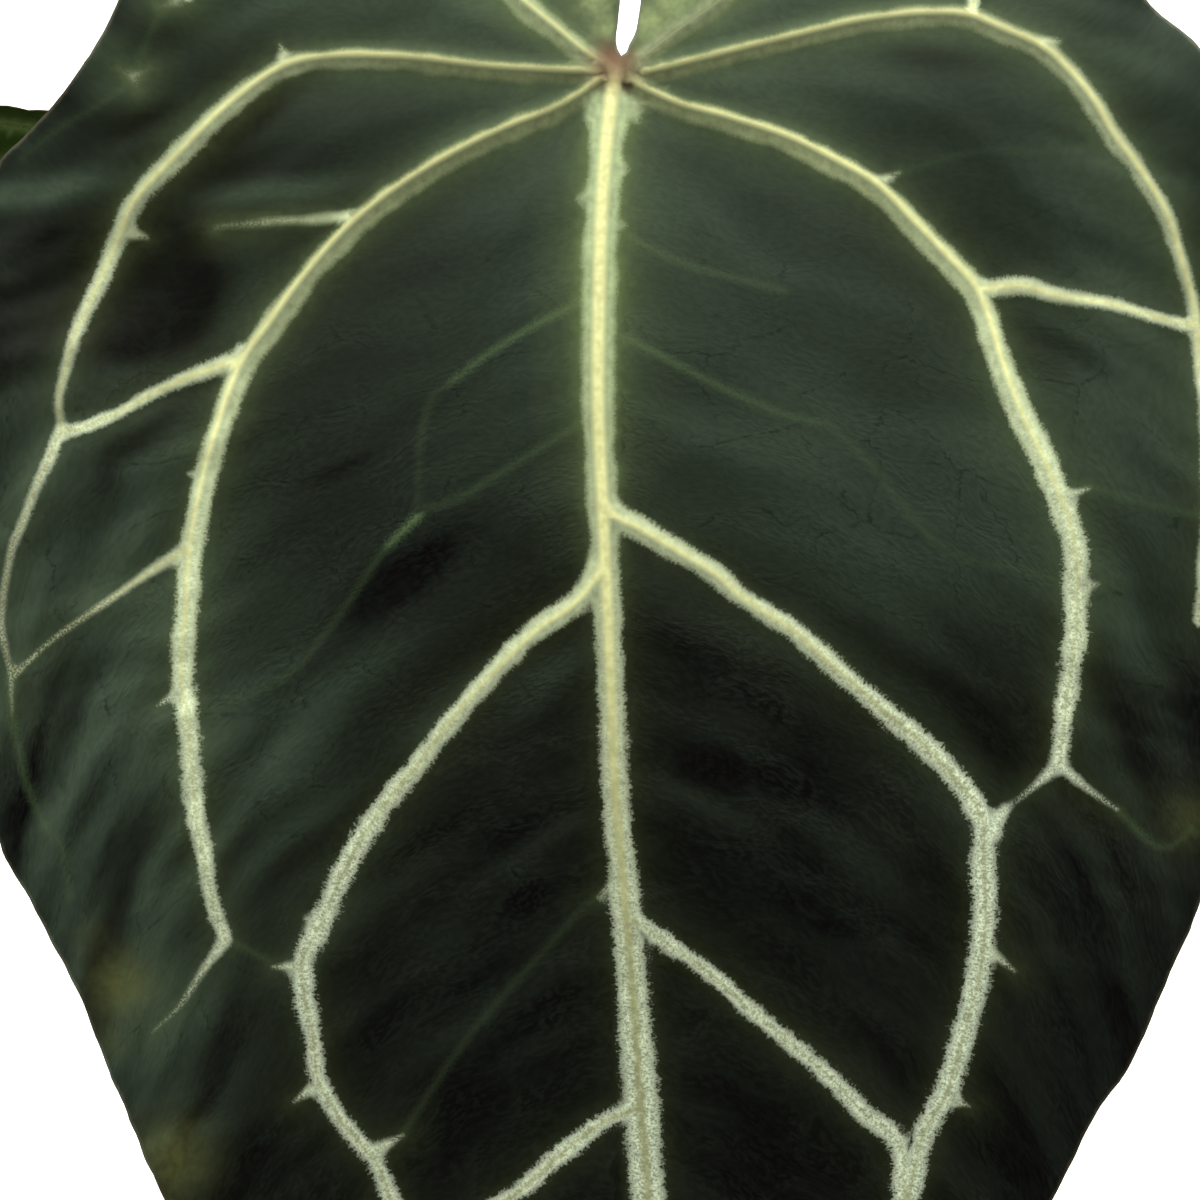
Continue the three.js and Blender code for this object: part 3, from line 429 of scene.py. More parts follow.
# %% Faint veins and stains
FAINT_VEINS = [
    (0.85, [(582, 302), (536, 325), (486, 356), (452, 382)]),
    (0.2, [(452, 382), (432, 398), (421, 440), (417, 500)]),
    (0.35, [(578, 425), (517, 463), (459, 498), (417, 513)]),
    (1.4, [(423, 512), (402, 532), (388, 546)]),
    (0.25, [(388, 546), (375, 563), (352, 597), (325, 634), (291, 673), (249, 696), (207, 714)]),
    (0.25, [(402, 1136), (452, 1059), (494, 1006), (536, 960), (574, 918), (605, 890)]),
    (0.4, [(237, 944), (275, 964)]),
    (0.15, [(898, 174), (925, 165), (983, 151), (1050, 152), (1113, 145)]),
    (0.35, [(1117, 810), (1163, 849), (1193, 830)]),
    (0.3, [(1071, 482), (1136, 501), (1200, 517)]),
    (0.45, [(619, 230), (650, 249), (696, 268), (753, 283), (784, 291)]),
    (0.6, [(623, 337), (650, 350), (696, 375), (753, 402), (791, 417), (830, 425)]),
    (0.2, [(830, 425), (868, 463), (902, 505), (937, 543), (979, 563), (1021, 570), (1059, 582)]),
    (0.2, [(175, 0), (158, 20), (145, 45), (134, 77), (100, 105), (60, 128), (20, 160)]),
    (0.45, [(11, 676), (13, 715), (19, 753), (29, 791), (48, 830), (61, 845), (69, 898)]),
]
# Single stains: middle, size and strength
STAINS = [(120, 985, 30, 0.7), (110, 1040, 18, 0.3), (172, 1160, 36, 0.65), (150, 1200, 30, 0.5),
          (1190, 820, 28, 0.25), (95, 940, 20, 0.2)]
# Painted sheen, places where the velvet is painted paler: middle, half width, half height and strength
PAINTED_SHEEN = [
    (1150, 90, 110, 60, 0.35), (850, 95, 130, 45, 0.2), (960, 800, 260, 160, 0.07),
    (620, 20, 520, 110, 0.5), (620, -200, 700, 200, 0.9), (770, 260, 230, 190, 0.4),
    (460, 240, 190, 150, 0.17), (600, 220, 90, 150, 0.45), (1110, 370, 120, 260, 0.6),
    (60, 540, 140, 200, 0.7), (1130, 590, 90, 100, 0.25), (540, 440, 260, 130, 0.25),
    (900, 530, 170, 120, 0.48), (90, 960, 90, 200, 0.65), (60, 110, 80, 60, 0.35),
    (250, 800, 100, 200, 0.4), (240, 280, 50, 60, 0.25), (780, 440, 120, 60, 0.2),
    (250, 650, 260, 320, 0.1),
]
PAINTED_SHEEN_BASE = 0.03
# Painted highlights and shade as single strokes: middle, half length, half width, slope in degrees and
# strength
SHEEN_AND_SHADE_STROKES = [
    (150, 300, 60, 48, 30, -1.05), (75, 238, 28, 9, 5, -0.4), (140, 120, 45, 14, 25, -0.3),
    (250, 118, 62, 16, 40, -0.45), (930, 58, 75, 17, -5, -0.45), (1070, 135, 40, 9, -20, -0.3),
    (1140, 115, 45, 16, -25, -0.3),
    (1055, 345, 55, 18, -20, -0.3), (340, 470, 50, 9, 25, -0.25), (400, 580, 62, 20, 38, -0.4),
    (690, 155, 40, 25, 0, -0.15), (95, 800, 55, 11, 62, -0.4), (160, 420, 50, 10, 35, -0.2),
    (50, 190, 85, 14, 8, 0.8), (270, 190, 75, 12, 5, 0.6), (1150, 175, 60, 10, -15, 0.3),
    (780, 275, 70, 10, -15, 0.15), (320, 695, 110, 20, 33, 0.3), (60, 700, 70, 14, 65, 0.25),
    (130, 760, 75, 14, 65, 0.3), (550, 680, 55, 15, 40, 0.25), (555, 830, 60, 10, 35, 0.2),
    (450, 1040, 70, 10, 40, 0.1), (480, 900, 90, 20, 40, 0.2), (420, 1010, 60, 12, 42, 0.06),
    (700, 800, 90, 9, -25, 0.1), (1090, 690, 60, 20, -15, 0.08), (1150, 710, 70, 30, -15, -0.12),
    (1090, 850, 60, 10, -20, 0.07), (1080, 960, 60, 10, -20, 0.07), (190, 1010, 85, 25, 55, 0.3),
    (170, 1130, 60, 30, 50, 0.3), (480, 130, 80, 30, 25, 0.25), (420, 740, 80, 14, 48, 0.2),
]
# Painted sheen and light shining through, as sage green patches beside the notch: middle, size and strength
SHEEN_PATCHES = [(648, 20, 20, 1), (672, 0, 20, 1), (705, -30, 26, 1), (606, 28, 14, 1), (596, 0, 20, 1),
        (585, -35, 28, 1)]
print("faint veins:", len(FAINT_VEINS))

# %% [markdown]
# ## Giving a leaf its form
# The flat leaf is lifted into its form by one height for every place: the blade arches back along and
# across, puffs up between its main veins, and waves near its margin. Fine ripples that run the way the
# side veins run catch the light. The solids have the same formula without the ripples, so that both lie in
# the same place.

# %% Leaves
LEAVES = [
    {"name": "front", "joint": (0, -62, 352), "scale": 1, "mirror": 1, "wave": 1.6, "droop": 0.0021,
     "phase": 0.4, "girth": 1, "sway": 0, "faces": (0, -math.cos(FRONT_TILT), math.sin(FRONT_TILT)),
     "tip": (0, -math.sin(FRONT_TILT), -math.cos(FRONT_TILT)), "base_angle": -90, "base_height": 128,
     "route": [(0, -15, 170), (1, -20, 240), (1, -25, 310)]},
    {"name": "left", "joint": (-43, 12, 302.5), "scale": 0.86, "mirror": -1, "wave": 2.4, "droop": 0.003,
     "phase": 1.9, "girth": 0.95, "sway": 12, "faces": (-0.18, -0.4, 0.9), "tip": (-1, 0, -0.08),
     "base_angle": 170, "base_height": 133, "route": [(-15, 4, 175), (-23, 12, 225), (-32, 22, 272)]},
    {"name": "right", "joint": (129, -4, 207), "scale": 0.8, "mirror": 1, "wave": 2.6, "droop": 0.0034,
     "phase": 3.1, "girth": 0.92, "sway": -10, "faces": (0.55, -0.1, 0.83), "tip": (0.7, -0.1, -0.7),
     "base_angle": 0, "base_height": 123, "route": [(27, 1, 139), (62, 1, 152), (102, -1, 178)]},
    {"name": "back_right", "joint": (42, 72, 300), "scale": 0.88, "mirror": -1, "wave": 2.2, "droop": 0.003,
     "phase": 4.4, "girth": 0.97, "sway": -9, "faces": (0.34, 0.65, 0.66), "tip": (0.26, 0.45, -0.85),
     "base_angle": 64, "base_height": 130, "route": [(8, 15, 180), (18, 29, 225), (30, 45, 268)]},
    {"name": "back_left", "joint": (-30, 78, 262), "scale": 0.8, "mirror": 1, "wave": 2.8, "droop": 0.0034,
     "phase": 5.6, "girth": 0.9, "sway": 14, "faces": (-0.28, 0.63, 0.72), "tip": (-0.22, 0.6, -0.74),
     "base_angle": 118, "base_height": 125, "route": [(-8, 16, 165), (-15, 30, 200), (-22, 50, 235)]},
    {"name": "young", "joint": (32, 8, 286), "scale": 0.46, "mirror": 1, "wave": 2, "droop": 0.004,
     "phase": 0.9, "girth": 0.86, "sway": 8, "faces": (0.34, -0.35, 0.87), "tip": (0.85, -0.1, -0.5),
     "base_angle": 28, "base_height": 134, "route": [(14, 5, 185), (19, 6, 225), (26, 9, 262)]},
]
print("leaves:", [leaf["name"] for leaf in LEAVES])

# %% Form of a blade
BLADE_LENGTH = 205
FLAT_LINE = -62
HALF_WIDTH = 65
WAVE_LENGTH = 45
QUILT_WIDTH = 10
QUILT_HEIGHT = 2
RIPPLE_LENGTH = 5.6
RIPPLE_SLANT = 0.55
BROAD_RIPPLES = 2.7
LEFT_RIPPLES = (22, 48)
RIGHT_RIPPLES = (30, 58)
LOW_RIPPLES = (40, 110)
SIDE_DROP = 4.5
SIDE_CURVE = 2.6
WAVE_LAG = 1.3
HOLLOW_DEPTH = 2.4
HOLLOW_X, HOLLOW_Y = -50, -23
HOLLOW_SPREAD = 110
SEAT_Y = -1.0
COARSE = [entry["line"][::3] for entry in VEINS if entry["main"]]


def smoothly(value, start, end):
    share = np.clip((value - start) / (end - start), 0, 1)
    return share * share * (3 - 2 * share)


def ripples(x, y):
    """Fine ripples along the side veins, strongest towards the sides of the blade."""
    drift = np.array([noise.noise(Vector((a * 0.045, b * 0.045, 3.0))) for a, b in zip(x, y)])
    patchy = np.array([noise.noise(Vector((a * 0.07, b * 0.11, 9.0))) for a, b in zip(x, y)])
    reach = y + RIPPLE_SLANT * np.abs(x)
    outer = np.where(x < 0, smoothly(-x, *LEFT_RIPPLES), 0.75 * smoothly(x, *RIGHT_RIPPLES))
    low = smoothly(-y, *LOW_RIPPLES)
    size = 0.03 + 0.15 * outer + 0.05 * low
    fine = np.sin(reach / RIPPLE_LENGTH * 2 * math.pi + drift * 9)
    broad = np.sin(reach / (RIPPLE_LENGTH * BROAD_RIPPLES) * 2 * math.pi + drift * 5 + 1.2)
    return size * fine * (0.55 + 1.1 * np.clip(patchy + 0.25, 0, 1)) + (0.1 + 0.25 * outer) * broad * 0.8


def middle_height(x, y, leaf):
    """How high the middle of the blade's thickness lies at each place."""
    points = np.column_stack([x, y])
    near = np.min([nearest(points, line)[0] for line in COARSE], axis=0)
    arch = leaf["droop"] * (FLAT_LINE ** 2 - (y - FLAT_LINE) ** 2)
    sides = -SIDE_DROP * (np.abs(x) / HALF_WIDTH) ** SIDE_CURVE
    quilt = QUILT_HEIGHT * (1 - np.exp(-((near / QUILT_WIDTH) ** 2)))
    out = np.minimum(1, np.hypot(x, (y - FLAT_LINE) * 0.45) / HALF_WIDTH) ** 3
    turn = (y / WAVE_LENGTH) * 2 * math.pi + leaf["phase"] + (x > 0) * WAVE_LAG
    waves = leaf["wave"] * out * np.sin(turn)
    hollow = -HOLLOW_DEPTH * np.exp(-((x - HOLLOW_X) ** 2 + (y - HOLLOW_Y) ** 2) / HOLLOW_SPREAD)
    return arch + sides + quilt + waves + hollow


def leaf_matrix(leaf):
    """z is the way the blade faces, y goes from the tip to the notch, and the origin is the joint."""
    z = Vector(leaf["faces"]).normalized()
    tip = Vector(leaf["tip"])
    y = -(tip - z * tip.dot(z)).normalized()
    x = y.cross(z)
    turn = Matrix((x, y, z)).transposed().to_4x4()
    return Matrix.Translation(leaf["joint"]) @ turn


print("main veins that shape the blade:", len(COARSE))

# %% [markdown]
# ## A blade's mesh
# The veins have to stay crisp, so the mesh follows them. Points are laid on the margin, on each vein and
# in rows beside it, and a loose honeycomb fills the rest. Blender's constrained triangulation joins them
# and keeps every vein as a row of edges. The flat sheet is then extruded for the underside, and every
# point is moved to its height.

# %% Laying the points
# The first veins of the table are the widest, and have rows of points beside them
VEINS_WITH_ROWS = 12
FINE_FILL = 0.95
COARSE_FILL = 2.0
VEIN_GAP = 0.42
ROW_GAP = 0.44
MARGIN_GAP = 0.4
FINE_ROWS = (0.5, 1.05, 1.8)
COARSE_ROWS = (1.1,)
FINE_RIM_STEP = 0.8
COARSE_RIM_STEP = 1.5
RIM_WANDER = 0.05
RIM_WANDER_SCALE = 0.9
# The honeycomb: its rows, how far its points wander, and how clear they keep, all as shares of its step
ROW_STEP = 0.87
WANDER = 0.12
CLEAR_OF_POINTS = 0.62
CLEAR_OF_MARGIN = 0.45


def slow_noise(points, scale, layer):
    return np.array([noise.noise(Vector((px * scale, py * scale, layer))) for px, py in points])


def lay_points(fill):
    """Points of the flat sheet, its margin count, and the vein edges that the mesh must keep."""
    fine = fill == FINE_FILL
    margin = smooth_line(MARGIN, FINE_RIM_STEP if fine else COARSE_RIM_STEP, True)
    shift = [RIM_WANDER * slow_noise(margin, RIM_WANDER_SCALE, layer) for layer in (1, 7)]
    rim = [tuple(point) for point in margin + np.column_stack(shift)]
    points = list(rim)
    edges = []
    cell = 0.5 * fill
    taken = {}

    def free(px, py, gap):
        column, row = math.floor(px / cell), math.floor(py / cell)
        reach = math.ceil(gap / cell)
        for i in range(column - reach, column + reach + 1):
            for j in range(row - reach, row + reach + 1):
                for qx, qy in taken.get((i, j), ()):
                    if math.hypot(px - qx, py - qy) < gap:
                        return False
        return True

    def mark(px, py):
        taken.setdefault((math.floor(px / cell), math.floor(py / cell)), []).append((px, py))

    def take(px, py):
        mark(px, py)
        points.append((px, py))
        return len(points) - 1

    def inside(candidates, edge):
        """Which of the candidates lie inside the margin, at least that far from it."""
        distance = nearest(candidates, np.vstack([margin, margin[:1]]))[0]
        return within(candidates, margin) & (distance > edge)

    for px, py in rim:
        mark(px, py)
    stride = 1 if fine else 2
    chosen = [entry["line"][::stride] for entry in VEINS[:len(VEINS) if fine else long_veins]]
    if fine:
        chosen += [smooth_line(on_leaf(line), VEIN_STEP) for _, line in FAINT_VEINS]
    for line in chosen:
        kept = inside(line, MARGIN_GAP)
        previous = None
        for (px, py), good in zip(line, kept):
            if not good or not free(px, py, VEIN_GAP * stride):
                previous = None
                continue
            here = take(px, py)
            if previous is not None:
                edges.append((previous, here))
            previous = here
    for line in chosen[:VEINS_WITH_ROWS]:
        ahead = np.gradient(line, axis=0)
        normal = np.column_stack([-ahead[:, 1], ahead[:, 0]]) / np.linalg.norm(ahead, axis=1)[:, None]
        for row in FINE_ROWS if fine else COARSE_ROWS:
            for side in (-1, 1):
                beside = line + normal * row * side
                for (px, py), good in zip(beside, inside(beside, MARGIN_GAP)):
                    if good and free(px, py, ROW_GAP * stride):
                        take(px, py)
    low, high = margin.min(0), margin.max(0)
    columns = np.arange(low[0], high[0], fill)
    for row, height in enumerate(np.arange(low[1], high[1], fill * ROW_STEP)):
        line = np.column_stack([columns + (row % 2) * fill / 2, np.full(len(columns), height)])
        line += WANDER * fill * np.sin(line * 7.3 + row)
        for (px, py), good in zip(line, inside(line, CLEAR_OF_MARGIN * fill)):
            if good and free(px, py, CLEAR_OF_POINTS * fill):
                take(px, py)
    return points, len(rim), edges


# %% Strokes on the velvet
GRAIN_ALONG = (0.87, -0.48)
GRAIN_SLOPE = 0.42
HALVES_APART = 40
STEEPER_BELOW = -30
STEEPENING = 400000


def grain_way(points):
    """Each point's place along and across the way the side veins run: steeper towards the lower sides."""
    reach, up = np.abs(points[:, 0]), points[:, 1]
    along = GRAIN_ALONG[0] * reach + GRAIN_ALONG[1] * up + HALVES_APART * np.sign(points[:, 0])
    across = up + GRAIN_SLOPE * reach - reach ** 3 * (up - STEEPER_BELOW) / STEEPENING
    across += 1.2 * slow_noise(points, 0.08, 4) + 0.9 * slow_noise(points, 0.22, 10)
    return np.column_stack([along + 1.4 * slow_noise(points, 0.2, 11), across])


def streaks(lie):
    """Soft strokes from 0 to 1 that run the way the side veins run; on the velvet they are painted sheen and
    shade.
    """
    values = [noise.fractal(Vector((0.05 * along, 0.18 * across, 2.0)), 1.0, 2.2, 2) for along, across in lie]
    return np.clip(0.5 + 0.9 * np.array(values), 0, 1)


def painted_velvet_sheen_and_shade(points, lie):
    """How much sheen and shade is painted on the velvet: paler places, light and dark strokes, then finer
    strokes along the side veins.
    """
    shade = np.full(len(points), PAINTED_SHEEN_BASE)
    for px, py, wide, tall, strength in PAINTED_SHEEN:
        away = (points - on_leaf([(px, py)])) / (wide * PIXEL, tall * PIXEL)
        shade += strength * np.exp(-(away ** 2).sum(1))
    for px, py, length, width, slope, strength in SHEEN_AND_SHADE_STROKES:
        turn = math.radians(slope)
        turned = np.array([[math.cos(turn), -math.sin(turn)], [math.sin(turn), math.cos(turn)]])
        away = (points - on_leaf([(px, py)])) @ turned / (length * PIXEL, width * PIXEL)
        shade += strength * np.exp(-(away ** 2).sum(1))
    x, y = points[:, 0], points[:, 1]
    low = smoothly(-y, 45, 75)
    contrast = 0.35 + 0.9 * smoothly(-x, 28, 55) + 0.25 * smoothly(x, 30, 55) + 0.35 * low
    stroke = streaks(lie) - 0.5
    shade = np.clip(shade, 0.01, 1.3) * (1 + 1.2 * contrast * stroke)
    return np.maximum(0, shade + 0.15 * low * (stroke + 0.08))


# %% Reading the veins at each point
WIDE_READING = 7
NARROW_READING = 4
NEAR_GLOW = 0.8
FAR_GLOW = 2.4
WIDEST_RIDGE = 1.15
RIDGE_SHARE = 0.78
JOINT_SPOT = (613, 66)
JOINT_SPOT_SIZE = 2.6


def along_vein(values, share):
    return np.interp(share, np.linspace(0, 1, len(values)), values)


def read_veins(points):
    """What the finish and the relief need to know at each point of the flat leaf."""
    count = len(points)
    kinds = ("tone", "light", "glow", "ridge", "faintness", "stain", "sage")
    seen = {key: np.zeros(count) for key in kinds}
    seen.update({key: np.full(count, 9.0) for key in ("band", "core", "faint")})
    run = np.zeros((count, 3))
    uneven = 0.32 * slow_noise(points, 0.34, 5) + 0.2 * slow_noise(points, 0.8, 6)
    for order, entry in enumerate(VEINS):
        line = entry["line"]
        pad = WIDE_READING if entry["main"] else NARROW_READING
        low, high = line.min(0) - pad, line.max(0) + pad
        close = np.nonzero(((points > low) & (points < high)).all(1))[0]
        if not len(close):
            continue
        distance, share, side = nearest(points[close], line)
        half = along_vein(entry["half"], share)
        gap = np.abs(distance * side - along_vein(entry["shift"], share)) - half
        gap += uneven[close] * np.clip(half, 0.2, 1)
        wins = gap < seen["band"][close]
        here = close[wins]
        seen["band"][here] = gap[wins]
        seen["tone"][here] = along_vein(entry["tone"], share[wins])
        seen["light"][here] = along_vein(entry["light"], share[wins])
        # How far along its vein a place lies, how far beside it, and how full the vein is there
        run[here] = np.column_stack([share[wins] * len(line) * VEIN_STEP, (distance * side)[wins],
                                     np.clip(half[wins] / 1.1, 0.2, 1)])
        run[here, 0] += order * 100
        core = distance - along_vein(entry["core"], share)
        seen["core"][close] = np.minimum(seen["core"][close], core)
        beyond = np.maximum(gap, 0)
        glow = 0.5 * np.exp(-beyond / NEAR_GLOW) + 0.42 * np.exp(-beyond / FAR_GLOW)
        glow *= along_vein(entry["glow"], share)
        seen["glow"][close] = np.maximum(seen["glow"][close], glow)
        body = np.minimum(half, WIDEST_RIDGE) * RIDGE_SHARE
        ridge = along_vein(entry["rise"], share) * np.exp(-((distance / body) ** 2))
        seen["ridge"][close] = np.maximum(seen["ridge"][close], ridge)
    for strength, line in FAINT_VEINS:
        distance, share, _ = nearest(points, smooth_line(on_leaf(line), 1.5))
        wins = distance < seen["faint"]
        seen["faint"][wins] = distance[wins]
        seen["faintness"][wins] = strength * (1 - 0.4 * share[wins])
    for key, patches in (("stain", STAINS), ("sage", SHEEN_PATCHES)):
        for px, py, size, strength in patches:
            away = np.linalg.norm(points - on_leaf([(px, py)]), axis=1) / (size * PIXEL)
            seen[key] = np.maximum(seen[key], strength * np.exp(-away ** 2))
    away = np.linalg.norm(points - on_leaf([JOINT_SPOT]), axis=1) / JOINT_SPOT_SIZE
    seen["spot"] = np.exp(-away ** 3)
    margin = smooth_line(MARGIN, 1.2, True)
    seen["edge"] = nearest(points, np.vstack([margin, margin[:1]]))[0]
    lie = grain_way(points)
    seen["shade"] = painted_velvet_sheen_and_shade(points, lie)
    net_strength = smoothly(-points[:, 1], 0, 35) * (0.4 + 0.6 * smoothly(streaks(lie * 1.7 + 31), 0.3, 0.7))
    return seen, run, np.column_stack([lie, net_strength])


# %% The flat sheet
HALF_THICK = 0.22
EDGE_SHARE = 0.45
CUSHION_HEIGHT = 1.2
CUSHION_RADIUS = 3.2
POCKET_DEPTH = 0.5
POCKET_SIZE = 0.7
POCKET_X, POCKET_Y = -0.35, -1.9
POCKET_APART = 1.35
LEFT_POCKET_SHARE = 0.4


def new_piece(name, mesh, finishes):
    """Turns a bmesh into a piece with these materials, riding with the plant."""
    data = bpy.data.meshes.new(name)
    mesh.to_mesh(data)
    mesh.free()
    for finish in finishes:
        data.materials.append(finish)
    piece = bpy.data.objects.new(name, data)
    bpy.context.scene.collection.objects.link(piece)
    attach(piece, "root")
    return piece


def flat_sheet(fill):
    """Joins the laid points by triangles and reads the veins at each of them."""
    points, rim_count, edges = lay_points(fill)
    edges = edges + [(k, (k + 1) % rim_count) for k in range(rim_count)]
    found = delaunay_2d_cdt([Vector(p) for p in points], edges, [], 0, 1e-6, False)
    xy = np.array([tuple(v) for v in found[0]])
    corners = np.array(found[2])
    corners = corners[within(xy[corners].mean(1), np.array(points[:rim_count]))]
    return xy, corners, *read_veins(xy)


sheets = {fill: flat_sheet(fill) for fill in (FINE_FILL, COARSE_FILL)}
print("triangles:", {fill: len(sheet[1]) for fill, sheet in sheets.items()})


# %% One blade
def blade_piece(leaf, fill, finishes):
    """Lifts the flat sheet into this leaf's form, gives it an underside and stores what its finish reads."""
    xy, corners, seen, run, lie = sheets[fill]
    x, y = xy[:, 0], xy[:, 1]
    root = middle_height(np.array([0.0]), np.array([SEAT_Y]), leaf)[0]
    bumps = ripples(x, y) * smoothly(np.hypot(x, y), 4, 20)
    z = middle_height(x, y, leaf) - root
    cushion = np.clip(1 - np.maximum(0, np.hypot(x, y - SEAT_Y) - CUSHION_RADIUS) / 2, 0, 1)
    from_pocket = np.hypot(np.abs(x - POCKET_X) - POCKET_APART, y - POCKET_Y)
    pocket = POCKET_DEPTH * np.exp(-(from_pocket / POCKET_SIZE) ** 2)
    pocket *= np.where(x > POCKET_X, 1, LEFT_POCKET_SHARE)
    scale = leaf["scale"]
    thick = HALF_THICK * (EDGE_SHARE + (1 - EDGE_SHARE) * smoothly(seen["edge"], 0, 3))
    top = thick + (seen["ridge"] + bumps - pocket) * scale
    below = thick + np.maximum(seen["ridge"] * 0.8 * scale, CUSHION_HEIGHT * cushion)
    below -= bumps * scale
    spread = 1 - z / VIEW_DISTANCE
    px = VIEW_MIDDLE[0] + (x - VIEW_MIDDLE[0]) * spread
    py = VIEW_MIDDLE[1] + (y - VIEW_MIDDLE[1]) * spread
    px = px * leaf["girth"] + leaf["sway"] * (np.minimum(0, py) / BLADE_LENGTH) ** 2
    px = px * scale * leaf["mirror"]
    py = py * scale
    place = np.array(leaf_matrix(leaf))
    faces_up = np.column_stack([px, py, z * scale + top, np.ones(len(px))]) @ place.T
    faces_down = np.column_stack([px, py, z * scale - below, np.ones(len(px))]) @ place.T

    sheet = bpy.data.meshes.new("sheet")
    sheet.from_pydata([tuple(v) for v in faces_up[:, :3] * MM], [], corners.tolist())
    mesh = bmesh.new()
    mesh.from_mesh(sheet)
    bpy.data.meshes.remove(sheet)
    which = mesh.verts.layers.int.new("which")
    for k, vertex in enumerate(mesh.verts):
        vertex[which] = k
    upper = list(mesh.faces)
    made = bmesh.ops.extrude_face_region(mesh, geom=upper, use_keep_orig=True)
    for item in made["geom"]:
        if isinstance(item, bmesh.types.BMVert):
            item.co = Vector(faces_down[item[which], :3]) * MM
        elif isinstance(item, bmesh.types.BMFace):
            item.material_index = 1
    kept = set(upper)
    lower = {item for item in made["geom"] if isinstance(item, bmesh.types.BMFace)}
    for face in mesh.faces:
        face.smooth = True
        if face not in kept and face not in lower:
            face.material_index = 2
    bmesh.ops.recalc_face_normals(mesh, faces=mesh.faces)
    order = np.array([vertex[which] for vertex in mesh.verts])
    piece = new_piece(leaf["name"] + "_leaf", mesh, finishes)
    columns = {
        "flat": np.column_stack([x, y, seen["light"]]),
        "run": run,
        "lie": lie,
        "vein": np.column_stack([seen["band"], seen["core"], seen["tone"]]),
        "faint": np.column_stack([seen["faint"], seen["faintness"], seen["glow"]]),
        "marks": np.column_stack([seen["stain"], seen["sage"], seen["spot"]]),
        "rim": np.column_stack([seen["edge"], seen["shade"], pocket]),
    }
    for key, values in columns.items():
        layer = piece.data.attributes.new(key, "FLOAT_VECTOR", "POINT")
        layer.data.foreach_set("vector", values[order].astype(np.float32).ravel())
    return piece


# %% [markdown]
# ## The velvet finish
# The blade's upper face is near black and scatters a little light, like velvet. Its sheen is painted on as
# paler patches and light and dark strokes, which are painted highlights and painted shade. Its veins are
# painted by numbers stored on the mesh: the distance to the band's edge, to the core line, and the vein's
# tone. A little noise on that distance gives the bristly edge, and a fine grain gives the silver its glitter.
# The net of the smallest veins is colour alone: thin broken lines of painted shade in its creases, with a
# painted highlight beside them. Only the wrinkles between them are also pressed in by the bump, because a
# second pattern in the bump would make the finish slow to render; their shading is painted into the colour
# too.

# %% Helpers for a finish, and the leaf's colours
def finish_named(name):
    finish = bpy.data.materials.new(name)
    finish.use_nodes = True
    return finish, finish.node_tree, finish.node_tree.nodes["Principled BSDF"]


def coat(tree, shader, colour, rough, gloss=0.5, relief=None, strength=0.8):
    """Joins a colour, and a relief in millimetres, to the shader. rough and gloss are even all over."""
    tree.links.new(colour, shader.inputs["Base Color"])
    shader.inputs["Roughness"].default_value = rough
    shader.inputs["Specular IOR Level"].default_value = gloss
    if relief is not None:
        bump = node(tree, "Bump", {"Height": relief, "Distance": MM, "Strength": strength})
        tree.links.new(bump.outputs["Normal"], shader.inputs["Normal"])


def stored(tree, key):
    """What the mesh holds at each point under this name."""
    return node(tree, "Attribute", attribute_name=key).outputs["Vector"]


def parts(tree, vector):
    made = node(tree, "SeparateXYZ", {0: vector})
    return made.outputs["X"], made.outputs["Y"], made.outputs["Z"]


WARM_BAND = (0.27, 0.30, 0.14)
SILVER_BAND = (0.56, 0.63, 0.45)
WARM_CORE_AND_CREST_HIGHLIGHT = (0.66, 0.66, 0.30)
SILVER_CORE = (0.28, 0.29, 0.125)
GLOW_GREEN = (0.12, 0.16, 0.055)
GLOW_FRINGE = (0.34, 0.43, 0.22)
FAINT_GREEN = (0.095, 0.15, 0.06)
STAIN_OLIVE = (0.105, 0.115, 0.035)
SHEEN_PATCH_GREEN = (0.24, 0.29, 0.125)
JOINT_BROWN = (0.125, 0.066, 0.04)
POCKET_BROWN = (0.035, 0.018, 0.01)
NET_CREASE_SHADE = (0.001, 0.001, 0.001)
MARGIN_DARK = (0.05, 0.036, 0.018)
MARGIN_PAINTED_SHEEN = (0.15, 0.17, 0.11)


# %% What the velvet reads
def velvet_numbers(tree):
    """What is known at each place of the leaf: the numbers stored on the mesh, and three noises round 0."""
    flat, run, lie = (stored(tree, key) for key in ("flat", "run", "lie"))
    at = SimpleNamespace(lie=lie, net_strength=parts(tree, lie)[2], fullness=parts(tree, run)[2])
    _, at.height, at.light = parts(tree, flat)
    at.band, at.core, at.tone = parts(tree, stored(tree, "vein"))
    at.faint, at.faintness, at.glow = parts(tree, stored(tree, "faint"))
    at.stain, at.sage, at.spot = parts(tree, stored(tree, "marks"))
    # The second number of rim is the sheen and shade painted on the velvet
    at.edge, at.bloom, at.pocket = parts(tree, stored(tree, "rim"))
    # A slow noise, fine glitter, and hairs that stand square to the vein
    at.wobble = maths(tree, "SUBTRACT", grain(tree, flat, 0.9, 1, 0.6), 0.5)
    at.speck = maths(tree, "SUBTRACT", grain(tree, flat, 4.0, 1, 0.6), 0.5)
    at.hairs = maths(tree, "SUBTRACT", grain(tree, stretched(tree, run, (3.2, 1.6, 0)), 1.0, 1, 0.6), 0.5)
    return at


